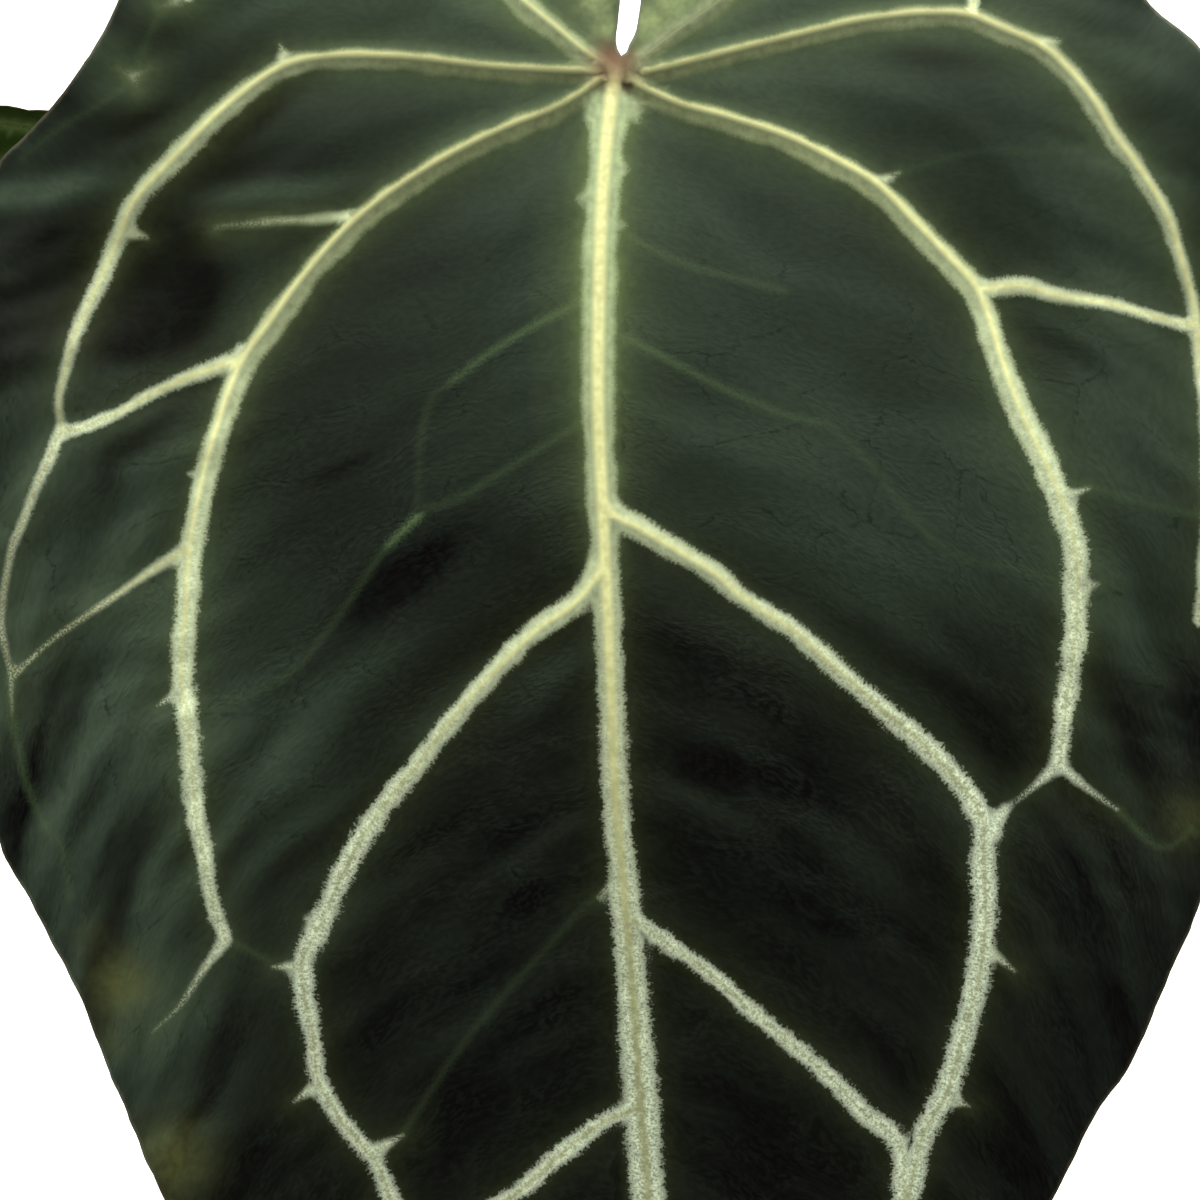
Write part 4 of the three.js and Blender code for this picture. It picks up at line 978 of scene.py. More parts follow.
def add_masks(tree, at):
    """Adds where the band with its bristly edge, its core line and the green haze beside it lie."""
    bristly = fade(tree, at.tone, 0.1, 1.0, 0.25, 1)
    edge_noise = maths(tree, "MULTIPLY_ADD", at.hairs, 1.2, times(tree, at.wobble, 0.8))
    edge_noise = maths(tree, "MULTIPLY_ADD", at.speck, 1.0, edge_noise)
    edge_noise = times(tree, times(tree, edge_noise, bristly), at.fullness)
    at.rough_band = maths(tree, "ADD", at.band, edge_noise)
    soft = fade(tree, at.tone, 0.0, 0.8, 0.5, 0.32)
    at.band_mask = fade(tree, at.rough_band, soft, times(tree, soft, -1))
    gaps = fade(tree, at.speck, -0.06, 0.06)
    whole = mixed(tree, fade(tree, at.fullness, 0.1, 0.45), gaps, (1, 1, 1))
    at.band_mask = times(tree, at.band_mask, whole)
    at.glow_mask = times(tree, at.glow, fade(tree, at.wobble, -0.3, 0.3, 0.75, 1))
    core_mask = fade(tree, maths(tree, "MULTIPLY_ADD", at.wobble, 0.3, at.core), 0.5, -0.25)
    at.core_mask = times(tree, core_mask, fade(tree, at.tone, 0.3, 0.9, 0.95, 0.8))


# %% The velvet between the veins
def velvet_colour(tree, at, deep, lit):
    """Painted sheen and shade, a wrinkled skin with painted shading, a net of thin lines of painted crease
    shade with painted highlights, faint veins, stains and painted sheen by the notch.
    """
    at.wrinkle = grain(tree, stretched(tree, at.lie, (1.0, 1.8, 0)), 1.0, 1, 0.6)
    at.wrinkled = times(tree, at.net_strength, fade(tree, at.height, -25, -65, 0.3, 1))
    # Painted sheen: the velvet goes from deep to lit where light is painted on it
    colour = mixed(tree, at.bloom, deep, lit)
    # Painted shading of the wrinkles: the colour goes a little lighter and darker with them, and a painted
    # highlight lies on their ridges
    colour = tinted(tree, colour, fade(tree, at.wrinkle, 0.3, 0.7, 0.93, 1.07))
    wrinkle_light = times(tree, at.wrinkled, fade(tree, at.wrinkle, 0.42, 0.65, 0, 0.07))
    colour = mixed(tree, wrinkle_light, colour, lit)
    bent = times(tree, at.wrinkle, 0.16)
    crooked = node(tree, "VectorMath", {0: stretched(tree, at.lie, (0.1, 0.17, 0)), 1: bent}, operation="ADD")
    net = cracks(tree, crooked.outputs[0], 1.0)
    # A painted highlight beside the creases of the net, and painted shade along them
    net_light = times(tree, fade(tree, net, 0.1, 0.03, 0, 0.06), at.net_strength)
    colour = mixed(tree, net_light, colour, lit)
    broken = times(tree, at.net_strength, fade(tree, at.wobble, -0.15, 0.15, 0.25, 1))
    net_crease_shade_mask = times(tree, fade(tree, net, 0.035, 0.0), broken)
    colour = mixed(tree, times(tree, net_crease_shade_mask, 0.5), colour, NET_CREASE_SHADE)
    faint_gap = maths(tree, "MULTIPLY_ADD", at.speck, 0.9, at.faint)
    faint_mask = times(tree, fade(tree, faint_gap, 0.9, -0.25), at.faintness)
    colour = mixed(tree, times(tree, faint_mask, 0.55), colour, FAINT_GREEN)
    stain_mask = times(tree, at.stain, fade(tree, at.wobble, -0.4, 0.3, 0.55, 1))
    colour = mixed(tree, stain_mask, colour, STAIN_OLIVE)
    colour = mixed(tree, at.glow_mask, colour, GLOW_GREEN)
    # Painted sheen and light shining through, beside the notch
    sheen_patch_mask = times(tree, at.sage, fade(tree, at.wobble, -0.3, 0.3, 0.6, 0.95))
    return mixed(tree, sheen_patch_mask, colour, SHEEN_PATCH_GREEN)


# %% The pale bands
def band_colour(tree, at, band_tint_and_shade):
    """Paler inside, glittering where the band is silver, with the core line on top."""
    pale = mixed(tree, at.tone, WARM_BAND, SILVER_BAND)
    pale = mixed(tree, times(tree, at.glow, 0.7), pale, GLOW_FRINGE)
    glitter = fade(tree, maths(tree, "MULTIPLY_ADD", at.hairs, 0.9, at.speck), -0.25, 0.25, 0.6, 1.4)
    glitter = times(tree, glitter, fade(tree, at.wobble, -0.2, 0.2, 0.85, 1.15))
    glitter = times(tree, glitter, fade(tree, at.rough_band, 0.2, -0.8, 0.75, 1.08))
    mottled = maths(tree, "MULTIPLY_ADD", at.hairs, 0.2, maths(tree, "MULTIPLY_ADD", at.wobble, 0.6, 1))
    silver = fade(tree, at.tone, 0.2, 0.95)
    pale = tinted(tree, pale, mixed(tree, silver, mottled, glitter))
    # Painted shade: light dims the band, and below it the core line
    pale = tinted(tree, pale, at.light)
    # The core line is the vein's own pale colour, and near the joint partly a painted highlight on the
    # ridge's crest
    heart = mixed(tree, fade(tree, at.tone, 0.3, 0.85), WARM_CORE_AND_CREST_HIGHLIGHT, SILVER_CORE)
    heart = tinted(tree, heart, fade(tree, at.wobble, -0.3, 0.3, 0.88, 1.12))
    heart = tinted(tree, heart, maths(tree, "POWER", at.light, 0.45))
    pale = mixed(tree, at.core_mask, pale, heart)
    # A last tint gives the young leaf's bands their hue and dims the other leaves' bands as painted shade
    return tinted(tree, pale, band_tint_and_shade) if band_tint_and_shade else pale


# %% The whole velvet finish
def velvet_finish(name, deep, lit, band_tint_and_shade=None, sheen=0.015, specular=0.02):
    finish, tree, shader = finish_named(name)
    at = velvet_numbers(tree)
    add_masks(tree, at)
    colour = mixed(tree, at.band_mask, velvet_colour(tree, at, deep, lit), band_colour(tree, at, band_tint_and_shade))
    colour = mixed(tree, times(tree, at.spot, 0.9), colour, JOINT_BROWN)
    colour = mixed(tree, fade(tree, at.pocket, 0.08, 0.4, 0, 0.95), colour, POCKET_BROWN)
    # The margin is a brown line, painted paler where sheen is painted on the velvet
    margin_mask = fade(tree, maths(tree, "MULTIPLY_ADD", at.wobble, 0.3, at.edge), 0.45, 0.1, 0, 0.6)
    colour = mixed(tree, margin_mask, colour, mixed(tree, at.bloom, MARGIN_DARK, MARGIN_PAINTED_SHEEN))
    shader.inputs["Sheen Weight"].default_value = sheen
    shader.inputs["Sheen Roughness"].default_value = 0.4
    shader.inputs["Sheen Tint"].default_value = (0.5, 0.9, 0.5, 1)
    relief = times(tree, at.wrinkle, maths(tree, "MULTIPLY_ADD", at.wrinkled, 0.16, 0.015))
    relief = times(tree, relief, fade(tree, at.band, 0.3, 1.6))
    coat(tree, shader, colour, 0.55, specular, relief, 1.0)
    return finish


# %% Undersides and rims
def underside_finish(name, colour_low, colour_high):
    """The paler back of a blade, with raised veins a little lighter."""
    finish, tree, shader = finish_named(name)
    flat = stored(tree, "flat")
    band, core, tone = parts(tree, stored(tree, "vein"))
    broad = grain(tree, flat, 0.12, 3)
    base = mixed(tree, fade(tree, broad, 0.3, 0.7), colour_low, colour_high)
    net = cracks(tree, flat, 0.2)
    base = mixed(tree, fade(tree, net, 0.06, 0, 0, 0.35), base, (0.24, 0.28, 0.12))
    colour = mixed(tree, fade(tree, band, 0.2, -0.3), base, (0.36, 0.36, 0.17))
    relief = times(tree, fade(tree, net, 0.1, 0), 0.09)
    relief = maths(tree, "ADD", relief, times(tree, grain(tree, flat, 3.0, 3), 0.03))
    coat(tree, shader, colour, 0.48, 0.35, relief, 1.0)
    return finish


def rim_finish():
    finish, tree, shader = finish_named("leaf_rim")
    flat = stored(tree, "flat")
    patches = fade(tree, grain(tree, flat, 0.6, 3), 0.35, 0.65)
    colour = mixed(tree, patches, (0.06, 0.045, 0.02), (0.10, 0.11, 0.035))
    coat(tree, shader, colour, 0.6)
    return finish


velvet = velvet_finish("black_green_velvet", (0.0022, 0.0018, 0.0017), (0.037, 0.054, 0.034))
# A darker copy of the velvet with dimmer veins, for the right and back leaves: painted shade
shaded_velvet = velvet_finish("shaded_velvet", (0.0022, 0.0018, 0.0017), (0.025, 0.037, 0.022), (0.55, 0.58, 0.5))
# The left leaf's velvet is olive, and darker than that colour as painted shade, with its veins dimmed too
olive_shaded_velvet = velvet_finish("olive_shaded_velvet", (0.0015, 0.003, 0.0004), (0.004, 0.008, 0.0008),
                             (0.03, 0.045, 0.02), sheen=0, specular=0)
bronze_velvet = velvet_finish("bronze_velvet", (0.045, 0.040, 0.016), (0.095, 0.085, 0.03),
                              (0.95, 0.85, 0.7), sheen=0.15)
underside = underside_finish("leaf_back", (0.075, 0.105, 0.045), (0.11, 0.145, 0.06))
young_underside = underside_finish("young_leaf_back", (0.16, 0.09, 0.05), (0.2, 0.12, 0.06))
rim = rim_finish()
print("leaf finishes:", [m.name for m in bpy.data.materials])

# %% The six blades
for leaf in LEAVES:
    face = {"front": velvet, "young": bronze_velvet, "left": olive_shaded_velvet}.get(leaf["name"], shaded_velvet)
    back = young_underside if leaf["name"] == "young" else underside
    fill = FINE_FILL if leaf["name"] == "front" else COARSE_FILL
    piece = blade_piece(leaf, fill, (face, back, rim))
    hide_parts(leaf["name"] + "_blade")
    print(piece.name, "faces:", len(piece.data.polygons))

# %% [markdown]
# ## Leaf stalks
# A stalk is a long round bar that bends, so it is a ring of points extruded along a line. A curve with a
# round bevel would give the same bar, but rings can change in size: wide where the stalk clasps the stem,
# and thicker again at the knee that turns the blade to the light.

# %% Extruding a ring along a line
def tube(mesh, line, radius_at, sides):
    """Extrudes a round cap along the line. radius_at gives the radius at a share of the way and an angle."""
    spoke = mesh.verts.layers.int.get("spoke") or mesh.verts.layers.int.new("spoke")
    way = mesh.verts.layers.float_vector.get("way") or mesh.verts.layers.float_vector.new("way")
    ahead = np.gradient(line, axis=0)
    step_length = np.linalg.norm(ahead, axis=1)
    across = Vector(ahead[0]).orthogonal()
    ring = bmesh.ops.create_circle(mesh, cap_ends=True, segments=sides, radius=MM)["verts"]
    cap = ring[0].link_faces[0]
    for k, vertex in enumerate(ring):
        vertex[spoke] = k
    for step, middle in enumerate(line):
        if step:
            made = bmesh.ops.extrude_face_region(mesh, geom=[cap])["geom"]
            ring = [item for item in made if isinstance(item, bmesh.types.BMVert)]
            cap = next(item for item in made if isinstance(item, bmesh.types.BMFace))
        forward = Vector(ahead[step]).normalized()
        across = (across - forward * across.dot(forward)).normalized()
        upright = forward.cross(across)
        for vertex in ring:
            angle = vertex[spoke] / sides * 2 * math.pi
            radius = radius_at(step / (len(line) - 1), angle)
            spread = across * math.cos(angle) + upright * math.sin(angle)
            vertex.co = (Vector(middle) + spread * radius) * MM
            distance = step_length[0] * step
            vertex[way] = (math.cos(angle) * radius, math.sin(angle) * radius, distance)


def smooth_faces(mesh):
    for face in mesh.faces:
        face.smooth = True
    bmesh.ops.recalc_face_normals(mesh, faces=mesh.faces)


# %% Stalk finish
def stalk_finish(name, low, high, knee_colour):
    """Green with pale flecks drawn out along the stalk, brown at its base, paler at its knee."""
    finish, tree, shader = finish_named(name)
    way = stored(tree, "way")
    knee, base, _ = parts(tree, stored(tree, "zone"))
    patches = grain(tree, stretched(tree, way, (0.3, 0.3, 0.05)), 1.0, 3, 0.6, "3D")
    colour = mixed(tree, fade(tree, patches, 0.35, 0.65), low, high)
    flecks = node(tree, "TexVoronoi", {"Vector": stretched(tree, way, (1.1, 1.1, 0.3)), "Scale": 1.0})
    fleck_mask = fade(tree, flecks.outputs["Distance"], 0.22, 0.1, 0, 0.55)
    colour = mixed(tree, fleck_mask, colour, (0.36, 0.38, 0.20))
    colour = mixed(tree, times(tree, knee, 0.7), colour, knee_colour)
    colour = mixed(tree, times(tree, base, fade(tree, patches, 0.3, 0.6, 0.3, 0.9)), colour,
                   (0.20, 0.12, 0.05))
    lines = grain(tree, stretched(tree, way, (2.2, 2.2, 0.12)), 1.0, 3, 0.6, "3D")
    relief = maths(tree, "MULTIPLY_ADD", lines, 0.12, times(tree, fleck_mask, 0.05))
    coat(tree, shader, colour, 0.45, 0.4, relief)
    return finish


green_stalk = stalk_finish("green_stalk", (0.085, 0.13, 0.04), (0.14, 0.18, 0.06), (0.19, 0.20, 0.08))
young_stalk = stalk_finish("young_stalk", (0.15, 0.12, 0.045), (0.18, 0.16, 0.06), (0.22, 0.14, 0.08))

# %% The six stalks
STEM_RADIUS = 8
STALK_RADIUS = 2.4
STALK_BASE_RADIUS = 3.4
KNEE_LENGTH = 16
STALK_UNDER = 1.2
CLASP_LENGTH = 15
STALK_STEP = 2.5
STALK_SIDES = 20
BASE_LENGTH = 30
KNEE_SWELLING = 0.5
STEM_GAP = 0.5


def stalk_line(leaf, size):
    """From the side of the stem, through the route, up to the cushion under the blade."""
    reach = 1.5
    x = np.array([reach, -reach, 0.0, 0.0])
    y = np.array([SEAT_Y, SEAT_Y, SEAT_Y + reach, SEAT_Y - reach])
    heights = middle_height(x, y, leaf)
    slope_x = (heights[0] - heights[1]) / (2 * reach)
    slope_y = (heights[2] - heights[3]) / (2 * reach)
    normal = Vector((-slope_x * leaf["mirror"], -slope_y, 1)).normalized()
    matrix = leaf_matrix(leaf)
    angle = math.radians(leaf["base_angle"])
    distance = STEM_RADIUS + STALK_BASE_RADIUS * size + STEM_GAP
    foot = [(math.cos(angle) * (distance + out), math.sin(angle) * (distance + out), leaf["base_height"] + up)
            for out, up in ((0, 0), (1, 9))]
    ends = [matrix @ (Vector((0, SEAT_Y * leaf["scale"], 0)) - normal * depth)
            for depth in (STALK_UNDER + KNEE_LENGTH * 0.9 * size, STALK_UNDER)]
    return smooth_line(foot + leaf["route"] + [tuple(end) for end in ends], STALK_STEP)


def stalk_piece(leaf, finish):
    size = math.sqrt(leaf["scale"])
    line = stalk_line(leaf, size)
    length = STALK_STEP * (len(line) - 1)

    def zones(share):
        knee = max(0, 1 - abs((1 - share) * length - KNEE_LENGTH * 0.45) / (KNEE_LENGTH * 0.6))
        return knee, max(0, 1 - share * length / BASE_LENGTH)

    def radius_at(share, angle):
        knee, base = zones(share)
        rounded = min(1, math.sqrt(max(0, share * length + 0.6) / 2.5))
        swollen = STALK_RADIUS + (STALK_BASE_RADIUS - STALK_RADIUS) * base + KNEE_SWELLING * knee
        return size * swollen * rounded

    mesh = bmesh.new()
    tube(mesh, line, radius_at, STALK_SIDES)
    way = mesh.verts.layers.float_vector["way"]
    zone = mesh.verts.layers.float_vector.new("zone")
    foot = math.radians(leaf["base_angle"])
    for vertex in mesh.verts:
        knee, base = zones(vertex[way].z / length)
        vertex[zone] = (knee, base, 0)
        clasp = smoothly(CLASP_LENGTH - vertex[way].z, 0, CLASP_LENGTH)
        place = vertex.co / MM
        out = place.xy.length - 0.5 * clasp * (place.xy.length - STEM_RADIUS - 0.3)
        off = (math.atan2(place.y, place.x) - foot + math.pi) % (2 * math.pi) - math.pi
        angle = foot + off * (1 + 1.3 * clasp)
        vertex.co.xy = (math.cos(angle) * out * MM, math.sin(angle) * out * MM)
    smooth_faces(mesh)
    return new_piece(leaf["name"] + "_petiole", mesh, (finish,))


for leaf in LEAVES:
    piece = stalk_piece(leaf, young_stalk if leaf["name"] == "young" else green_stalk)
    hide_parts(leaf["name"] + "_stalk")
    print(piece.name, "faces:", len(piece.data.polygons))

# %% [markdown]
# ## The pot
# A clay pot is turned on a wheel, so half its outline is drawn and spun round the axis. Its corners are
# bevelled afterwards, and a Boolean cuts the drain holes. The finish has damp and dry patches, faint
# turning lines and a white bloom of minerals.

# %% Pot shape
POT_HEIGHT = 125
POT_FOOT_RADIUS = 47
POT_NECK_RADIUS = 62
POT_NECK = 103
POT_RIM_RADIUS = 69
POT_WALL = 5
POT_FLOOR = 8
DRAIN_COUNT = 4
DRAIN_RADIUS = 5
DRAIN_RING_RADIUS = 27


def pot_inside(z):
    return POT_FOOT_RADIUS + (POT_NECK_RADIUS - POT_FOOT_RADIUS) / POT_NECK * z - POT_WALL


def spun(mesh, outline, steps):
    """Spins an outline of (radius, height) points in millimetres round the upright axis."""
    points = [mesh.verts.new((radius * MM, 0, z * MM)) for radius, z in outline]
    lines = [mesh.edges.new(pair) for pair in zip(points, points[1:])]
    bmesh.ops.spin(mesh, geom=points + lines, cent=(0, 0, 0), axis=(0, 0, 1), angle=2 * math.pi, steps=steps,
                   use_merge=True)
    bmesh.ops.remove_doubles(mesh, verts=mesh.verts, dist=0.01 * MM)
    smooth_faces(mesh)


def finely(outline, step):
    """The same outline with points no further apart than a step."""
    fine = []
    for (ax, ay), (bx, by) in zip(outline, outline[1:]):
        count = max(1, math.ceil(math.hypot(bx - ax, by - ay) / step))
        fine += [(ax + (bx - ax) * k / count, ay + (by - ay) * k / count) for k in range(count)]
    return fine + [outline[-1]]


POT_OUTLINE = [
    (0, 0), (POT_FOOT_RADIUS - 2, 0), (POT_FOOT_RADIUS, 2), (POT_NECK_RADIUS, POT_NECK),
    (POT_RIM_RADIUS - 2, POT_NECK + 1), (POT_RIM_RADIUS - 1, POT_NECK + 3), (POT_RIM_RADIUS, POT_HEIGHT - 3),
    (POT_RIM_RADIUS - 2.5, POT_HEIGHT), (pot_inside(POT_HEIGHT) + 2, POT_HEIGHT),
    (pot_inside(POT_HEIGHT), POT_HEIGHT - 3), (pot_inside(POT_FLOOR + 4), POT_FLOOR + 4),
    (pot_inside(POT_FLOOR) - 4, POT_FLOOR), (0, POT_FLOOR),
]
pot_mesh = bmesh.new()
spun(pot_mesh, finely(POT_OUTLINE, 6), 128)
corners = {(round(radius, 2), round(z, 2)) for radius, z in POT_OUTLINE[1:-1]}


def at_corner(vertex):
    place = vertex.co / MM
    return (round(math.hypot(place.x, place.y), 2), round(place.z, 2)) in corners


rings = [edge for edge in pot_mesh.edges
         if all(at_corner(v) for v in edge.verts) and abs(edge.verts[0].co.z - edge.verts[1].co.z) < 0.01 * MM
         and abs(edge.verts[0].co.xy.length - edge.verts[1].co.xy.length) < 0.01 * MM]
bmesh.ops.bevel(pot_mesh, geom=rings, offset=0.9 * MM, segments=3, profile=0.5, affect="EDGES", material=-1,
                clamp_overlap=True)
smooth_faces(pot_mesh)
print("bevelled edges:", len(rings))

# %% Pot finish and drain holes
def clay_finish():
    finish, tree, shader = finish_named("fired_clay")
    place = node(tree, "TexCoord").outputs["Object"]
    broad = grain(tree, place, 22, 4, 0.6, "3D")
    damp = grain(tree, stretched(tree, place, (1, 1, 0.5)), 35, 4, 0.65, "3D")
    colour = mixed(tree, fade(tree, broad, 0.3, 0.7), (0.34, 0.125, 0.055), (0.46, 0.19, 0.09))
    height = parts(tree, place)[2]
    wet = times(tree, fade(tree, height, 0.1, 0.0), fade(tree, damp, 0.4, 0.6))
    colour = mixed(tree, times(tree, wet, 0.55), colour, (0.20, 0.075, 0.035))
    bloom = fade(tree, grain(tree, place, 55, 5, 0.7, "3D"), 0.54, 0.75, 0, 0.5)
    colour = mixed(tree, bloom, colour, (0.62, 0.50, 0.42))
    pores = grain(tree, place, 900, 3, 0.7, "3D")
    colour = mixed(tree, fade(tree, pores, 0.62, 0.75, 0, 0.5), colour, (0.16, 0.06, 0.03))
    turning = grain(tree, stretched(tree, place, (2, 2, 420)), 1.0, 3, 0.6, "3D")
    relief = maths(tree, "MULTIPLY_ADD", turning, 0.18, times(tree, pores, 0.1))
    coat(tree, shader, colour, 0.85, 0.25, relief)
    return finish


def cut(piece, cutter_mesh):
    """Takes the cutter's volume out of a piece for good."""
    data = bpy.data.meshes.new("cutter")
    cutter_mesh.to_mesh(data)
    cutter_mesh.free()
    cutter = bpy.data.objects.new("cutter", data)
    bpy.context.scene.collection.objects.link(cutter)
    boolean = piece.modifiers.new("holes", "BOOLEAN")
    boolean.operation = "DIFFERENCE"
    boolean.solver = "EXACT"
    boolean.object = cutter
    done = piece.evaluated_get(bpy.context.evaluated_depsgraph_get())
    piece.modifiers.clear()
    before = piece.data
    piece.data = bpy.data.meshes.new_from_object(done)
    bpy.data.objects.remove(cutter)
    bpy.data.meshes.remove(before)


drains = bmesh.new()
for k in range(DRAIN_COUNT):
    angle = (k + 0.5) / DRAIN_COUNT * 2 * math.pi
    out = Vector((math.cos(angle), math.sin(angle), 0)) * DRAIN_RING_RADIUS
    where = Matrix.Translation((out + Vector((0, 0, POT_FLOOR / 2))) * MM)
    bmesh.ops.create_cone(drains, cap_ends=True, segments=32, radius1=DRAIN_RADIUS * MM,
                          radius2=DRAIN_RADIUS * MM, depth=POT_FLOOR * 3 * MM, matrix=where)
pot = new_piece("clay_pot", pot_mesh, (clay_finish(),))
cut(pot, drains)
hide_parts("pot")
print("pot faces:", len(pot.data.polygons))

# %% [markdown]
# ## The growing mix
# Aroids grow in a loose mix. Its body is spun like the pot and made lumpy, and hundreds of simple shapes
# lie on top: bark chips are bevelled boxes, the white grains are small rough balls, and the moss is a
# tangle of thin bars. Each kind is one mesh, so that the computer has few objects to carry.

# %% Mix body
MIX_FOOT = 8.3
MIX_TOP = 110
mix_radius = pot_inside(MIX_TOP) - 0.3
draw = np.random.default_rng(8)


def lumps(place, size):
    return noise.fractal(place / size, 0.8, 2.0, 3)


mix_mesh = bmesh.new()
MIX_OUTLINE = [
    (0, MIX_FOOT), (pot_inside(POT_FLOOR) - 4.8, MIX_FOOT), (pot_inside(POT_FLOOR + 4) - 0.3, MIX_FOOT + 4.5),
    (mix_radius, MIX_TOP - 1), (mix_radius - 6, MIX_TOP), (0, MIX_TOP + 0.5),
]
spun(mix_mesh, finely(MIX_OUTLINE, 3), 96)
for vertex in mix_mesh.verts:
    place = vertex.co / MM
    if place.z > MIX_TOP - 2 and place.xy.length < mix_radius - 1:
        vertex.co.z += 1.5 * lumps(place, 6) * MM
smooth_faces(mix_mesh)

# %% Mix finishes
def mix_finish(name, low, high, scale, rough=0.95, bump_height=0.4):
    finish, tree, shader = finish_named(name)
    place = node(tree, "TexCoord").outputs["Object"]
    patches = grain(tree, place, scale, 4, 0.65, "3D")
    fine = grain(tree, place, scale * 6, 3, 0.7, "3D")
    colour = mixed(tree, fade(tree, patches, 0.32, 0.68), low, high)
    colour = mixed(tree, fade(tree, fine, 0.5, 0.75, 0, 0.45), colour, tuple(0.3 * c for c in low))
    relief = maths(tree, "MULTIPLY_ADD", fine, bump_height, times(tree, patches, 0.3))
    coat(tree, shader, colour, rough, 0.2, relief, 0.9)
    return finish


def mix_piece(name, mesh, finish):
    piece = new_piece(name, mesh, (finish,))
    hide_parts("growing_mix")
    print(name, "faces:", len(piece.data.polygons))


mix_piece("mix_body", mix_mesh, mix_finish("dark_compost", (0.030, 0.018, 0.010), (0.075, 0.045, 0.024), 260))

# %% Bark chips
CHIP_COUNT = 300
GOLDEN_ANGLE = 2.39996


def scattered(count, inner, outer, wander):
    """Places spread evenly over a ring, each turned by the golden angle from the last and nudged a little."""
    for k in range(count):
        radius = inner + (outer - inner) * math.sqrt((k + 0.5) / count)
        angle = k * GOLDEN_ANGLE + wander * draw.random()
        yield math.cos(angle) * radius, math.sin(angle) * radius


def tumbled(x, y, z, tilt, size):
    """Where a loose grain lies: its place, a random turn and its size, in millimetres."""
    tip = Matrix.Rotation(draw.uniform(-tilt, tilt), 4, "X")
    lean = Matrix.Rotation(draw.uniform(-tilt, tilt), 4, "Y")
    spin = Matrix.Rotation(draw.uniform(0, 2 * math.pi), 4, "Z")
    scale = Matrix.Diagonal((*(s * MM for s in size), 1))
    return Matrix.Translation(Vector((x, y, z)) * MM) @ spin @ tip @ lean @ scale


chips = bmesh.new()
for x, y in scattered(CHIP_COUNT, 12, mix_radius - 5, 0.4):
    size = (draw.uniform(5, 14), draw.uniform(4, 9), draw.uniform(2, 4.5))
    where = tumbled(x, y, MIX_TOP + draw.uniform(-0.5, 2.2), 0.5, size)
    made = bmesh.ops.create_cube(chips, size=1, matrix=where)
    for vertex in made["verts"]:
        vertex.co += Vector(draw.uniform(-0.7, 0.7, 3)) * MM
bmesh.ops.bevel(chips, geom=chips.edges[:], offset=0.55 * MM, segments=1, profile=0.5, affect="EDGES",
                material=-1, clamp_overlap=True)
bmesh.ops.recalc_face_normals(chips, faces=chips.faces)
mix_piece("bark_chips", chips, mix_finish("fir_bark", (0.11, 0.055, 0.028), (0.26, 0.14, 0.07), 190, 0.85))

# %% White grains and moss
GRAIN_COUNT = 190
MOSS_COUNT = 80
grains = bmesh.new()
for x, y in scattered(GRAIN_COUNT, 11, mix_radius - 3, 0.9):
    size = draw.uniform(1.0, 2.1)
    where = tumbled(x, y, MIX_TOP + draw.uniform(1, 3.6), 1.5, (size, size * 0.85, size * 0.7))
    made = bmesh.ops.create_icosphere(grains, subdivisions=1, radius=1, matrix=where)
    for vertex in made["verts"]:
        vertex.co += Vector(draw.uniform(-0.28, 0.28, 3)) * MM
bmesh.ops.recalc_face_normals(grains, faces=grains.faces)
white = mix_finish("perlite", (0.62, 0.60, 0.55), (0.80, 0.79, 0.75), 320, 0.9, 0.25)
mix_piece("white_grains", grains, white)

moss = bmesh.new()
for x, y in scattered(MOSS_COUNT, 10, mix_radius - 5, 1.5):
    start = Vector((x, y, MIX_TOP + 1))
    heading = draw.uniform(0, 2 * math.pi)
    bend = draw.uniform(-1.4, 1.4)
    line = [start]
    for k in range(7):
        heading += bend * 0.3
        step = Vector((math.cos(heading), math.sin(heading), 0.55 * math.cos(k * 0.75)))
        line.append(line[-1] + step * 1.5)
    tube(moss, np.array(line), lambda share, angle: 0.42 * (1 - 0.7 * share), 5)
smooth_faces(moss)
mix_piece("moss", moss, mix_finish("sphagnum", (0.16, 0.15, 0.045), (0.34, 0.30, 0.11), 400, 0.9, 0.2))

# %% [markdown]
# ## Rootstock
# The stem is short and thick, ringed by the scars of old leaves, and its roots go down into the mix. The
# stem is spun from its outline, and each root is a tapered bar along a bent line.

# %% Stem
STEM_FOOT = 62
STEM_TOP = 152
SCAR_STEP = 5.5


def stem_radius(z):
    heights = (STEM_FOOT, STEM_FOOT + 8, STEM_TOP - 14, STEM_TOP - 4, STEM_TOP)
    radii = (STEM_RADIUS - 3, STEM_RADIUS, STEM_RADIUS, STEM_RADIUS - 2, STEM_RADIUS - 5)
    scar = abs((z / SCAR_STEP) % 1 - 0.5) * 2
    return np.interp(z, heights, radii) + 0.35 * scar ** 6 - 0.15 * (1 - scar) ** 2


stem_mesh = bmesh.new()
heights = np.linspace(STEM_FOOT, STEM_TOP, 110)
spun(stem_mesh, [(0, STEM_FOOT)] + [(stem_radius(z), z) for z in heights] + [(0, STEM_TOP + 0.1)], 48)
for vertex in stem_mesh.verts:
    angle = math.atan2(vertex.co.y, vertex.co.x)
    lean = 0.9 * math.sin(angle + vertex.co.z / MM * 0.35)
    if STEM_FOOT + 3 < vertex.co.z / MM < STEM_TOP - 4:
        vertex.co.z += lean * MM
    vertex.co.xy *= 1 + 0.02 * noise.noise(vertex.co / MM * 0.35)
smooth_faces(stem_mesh)


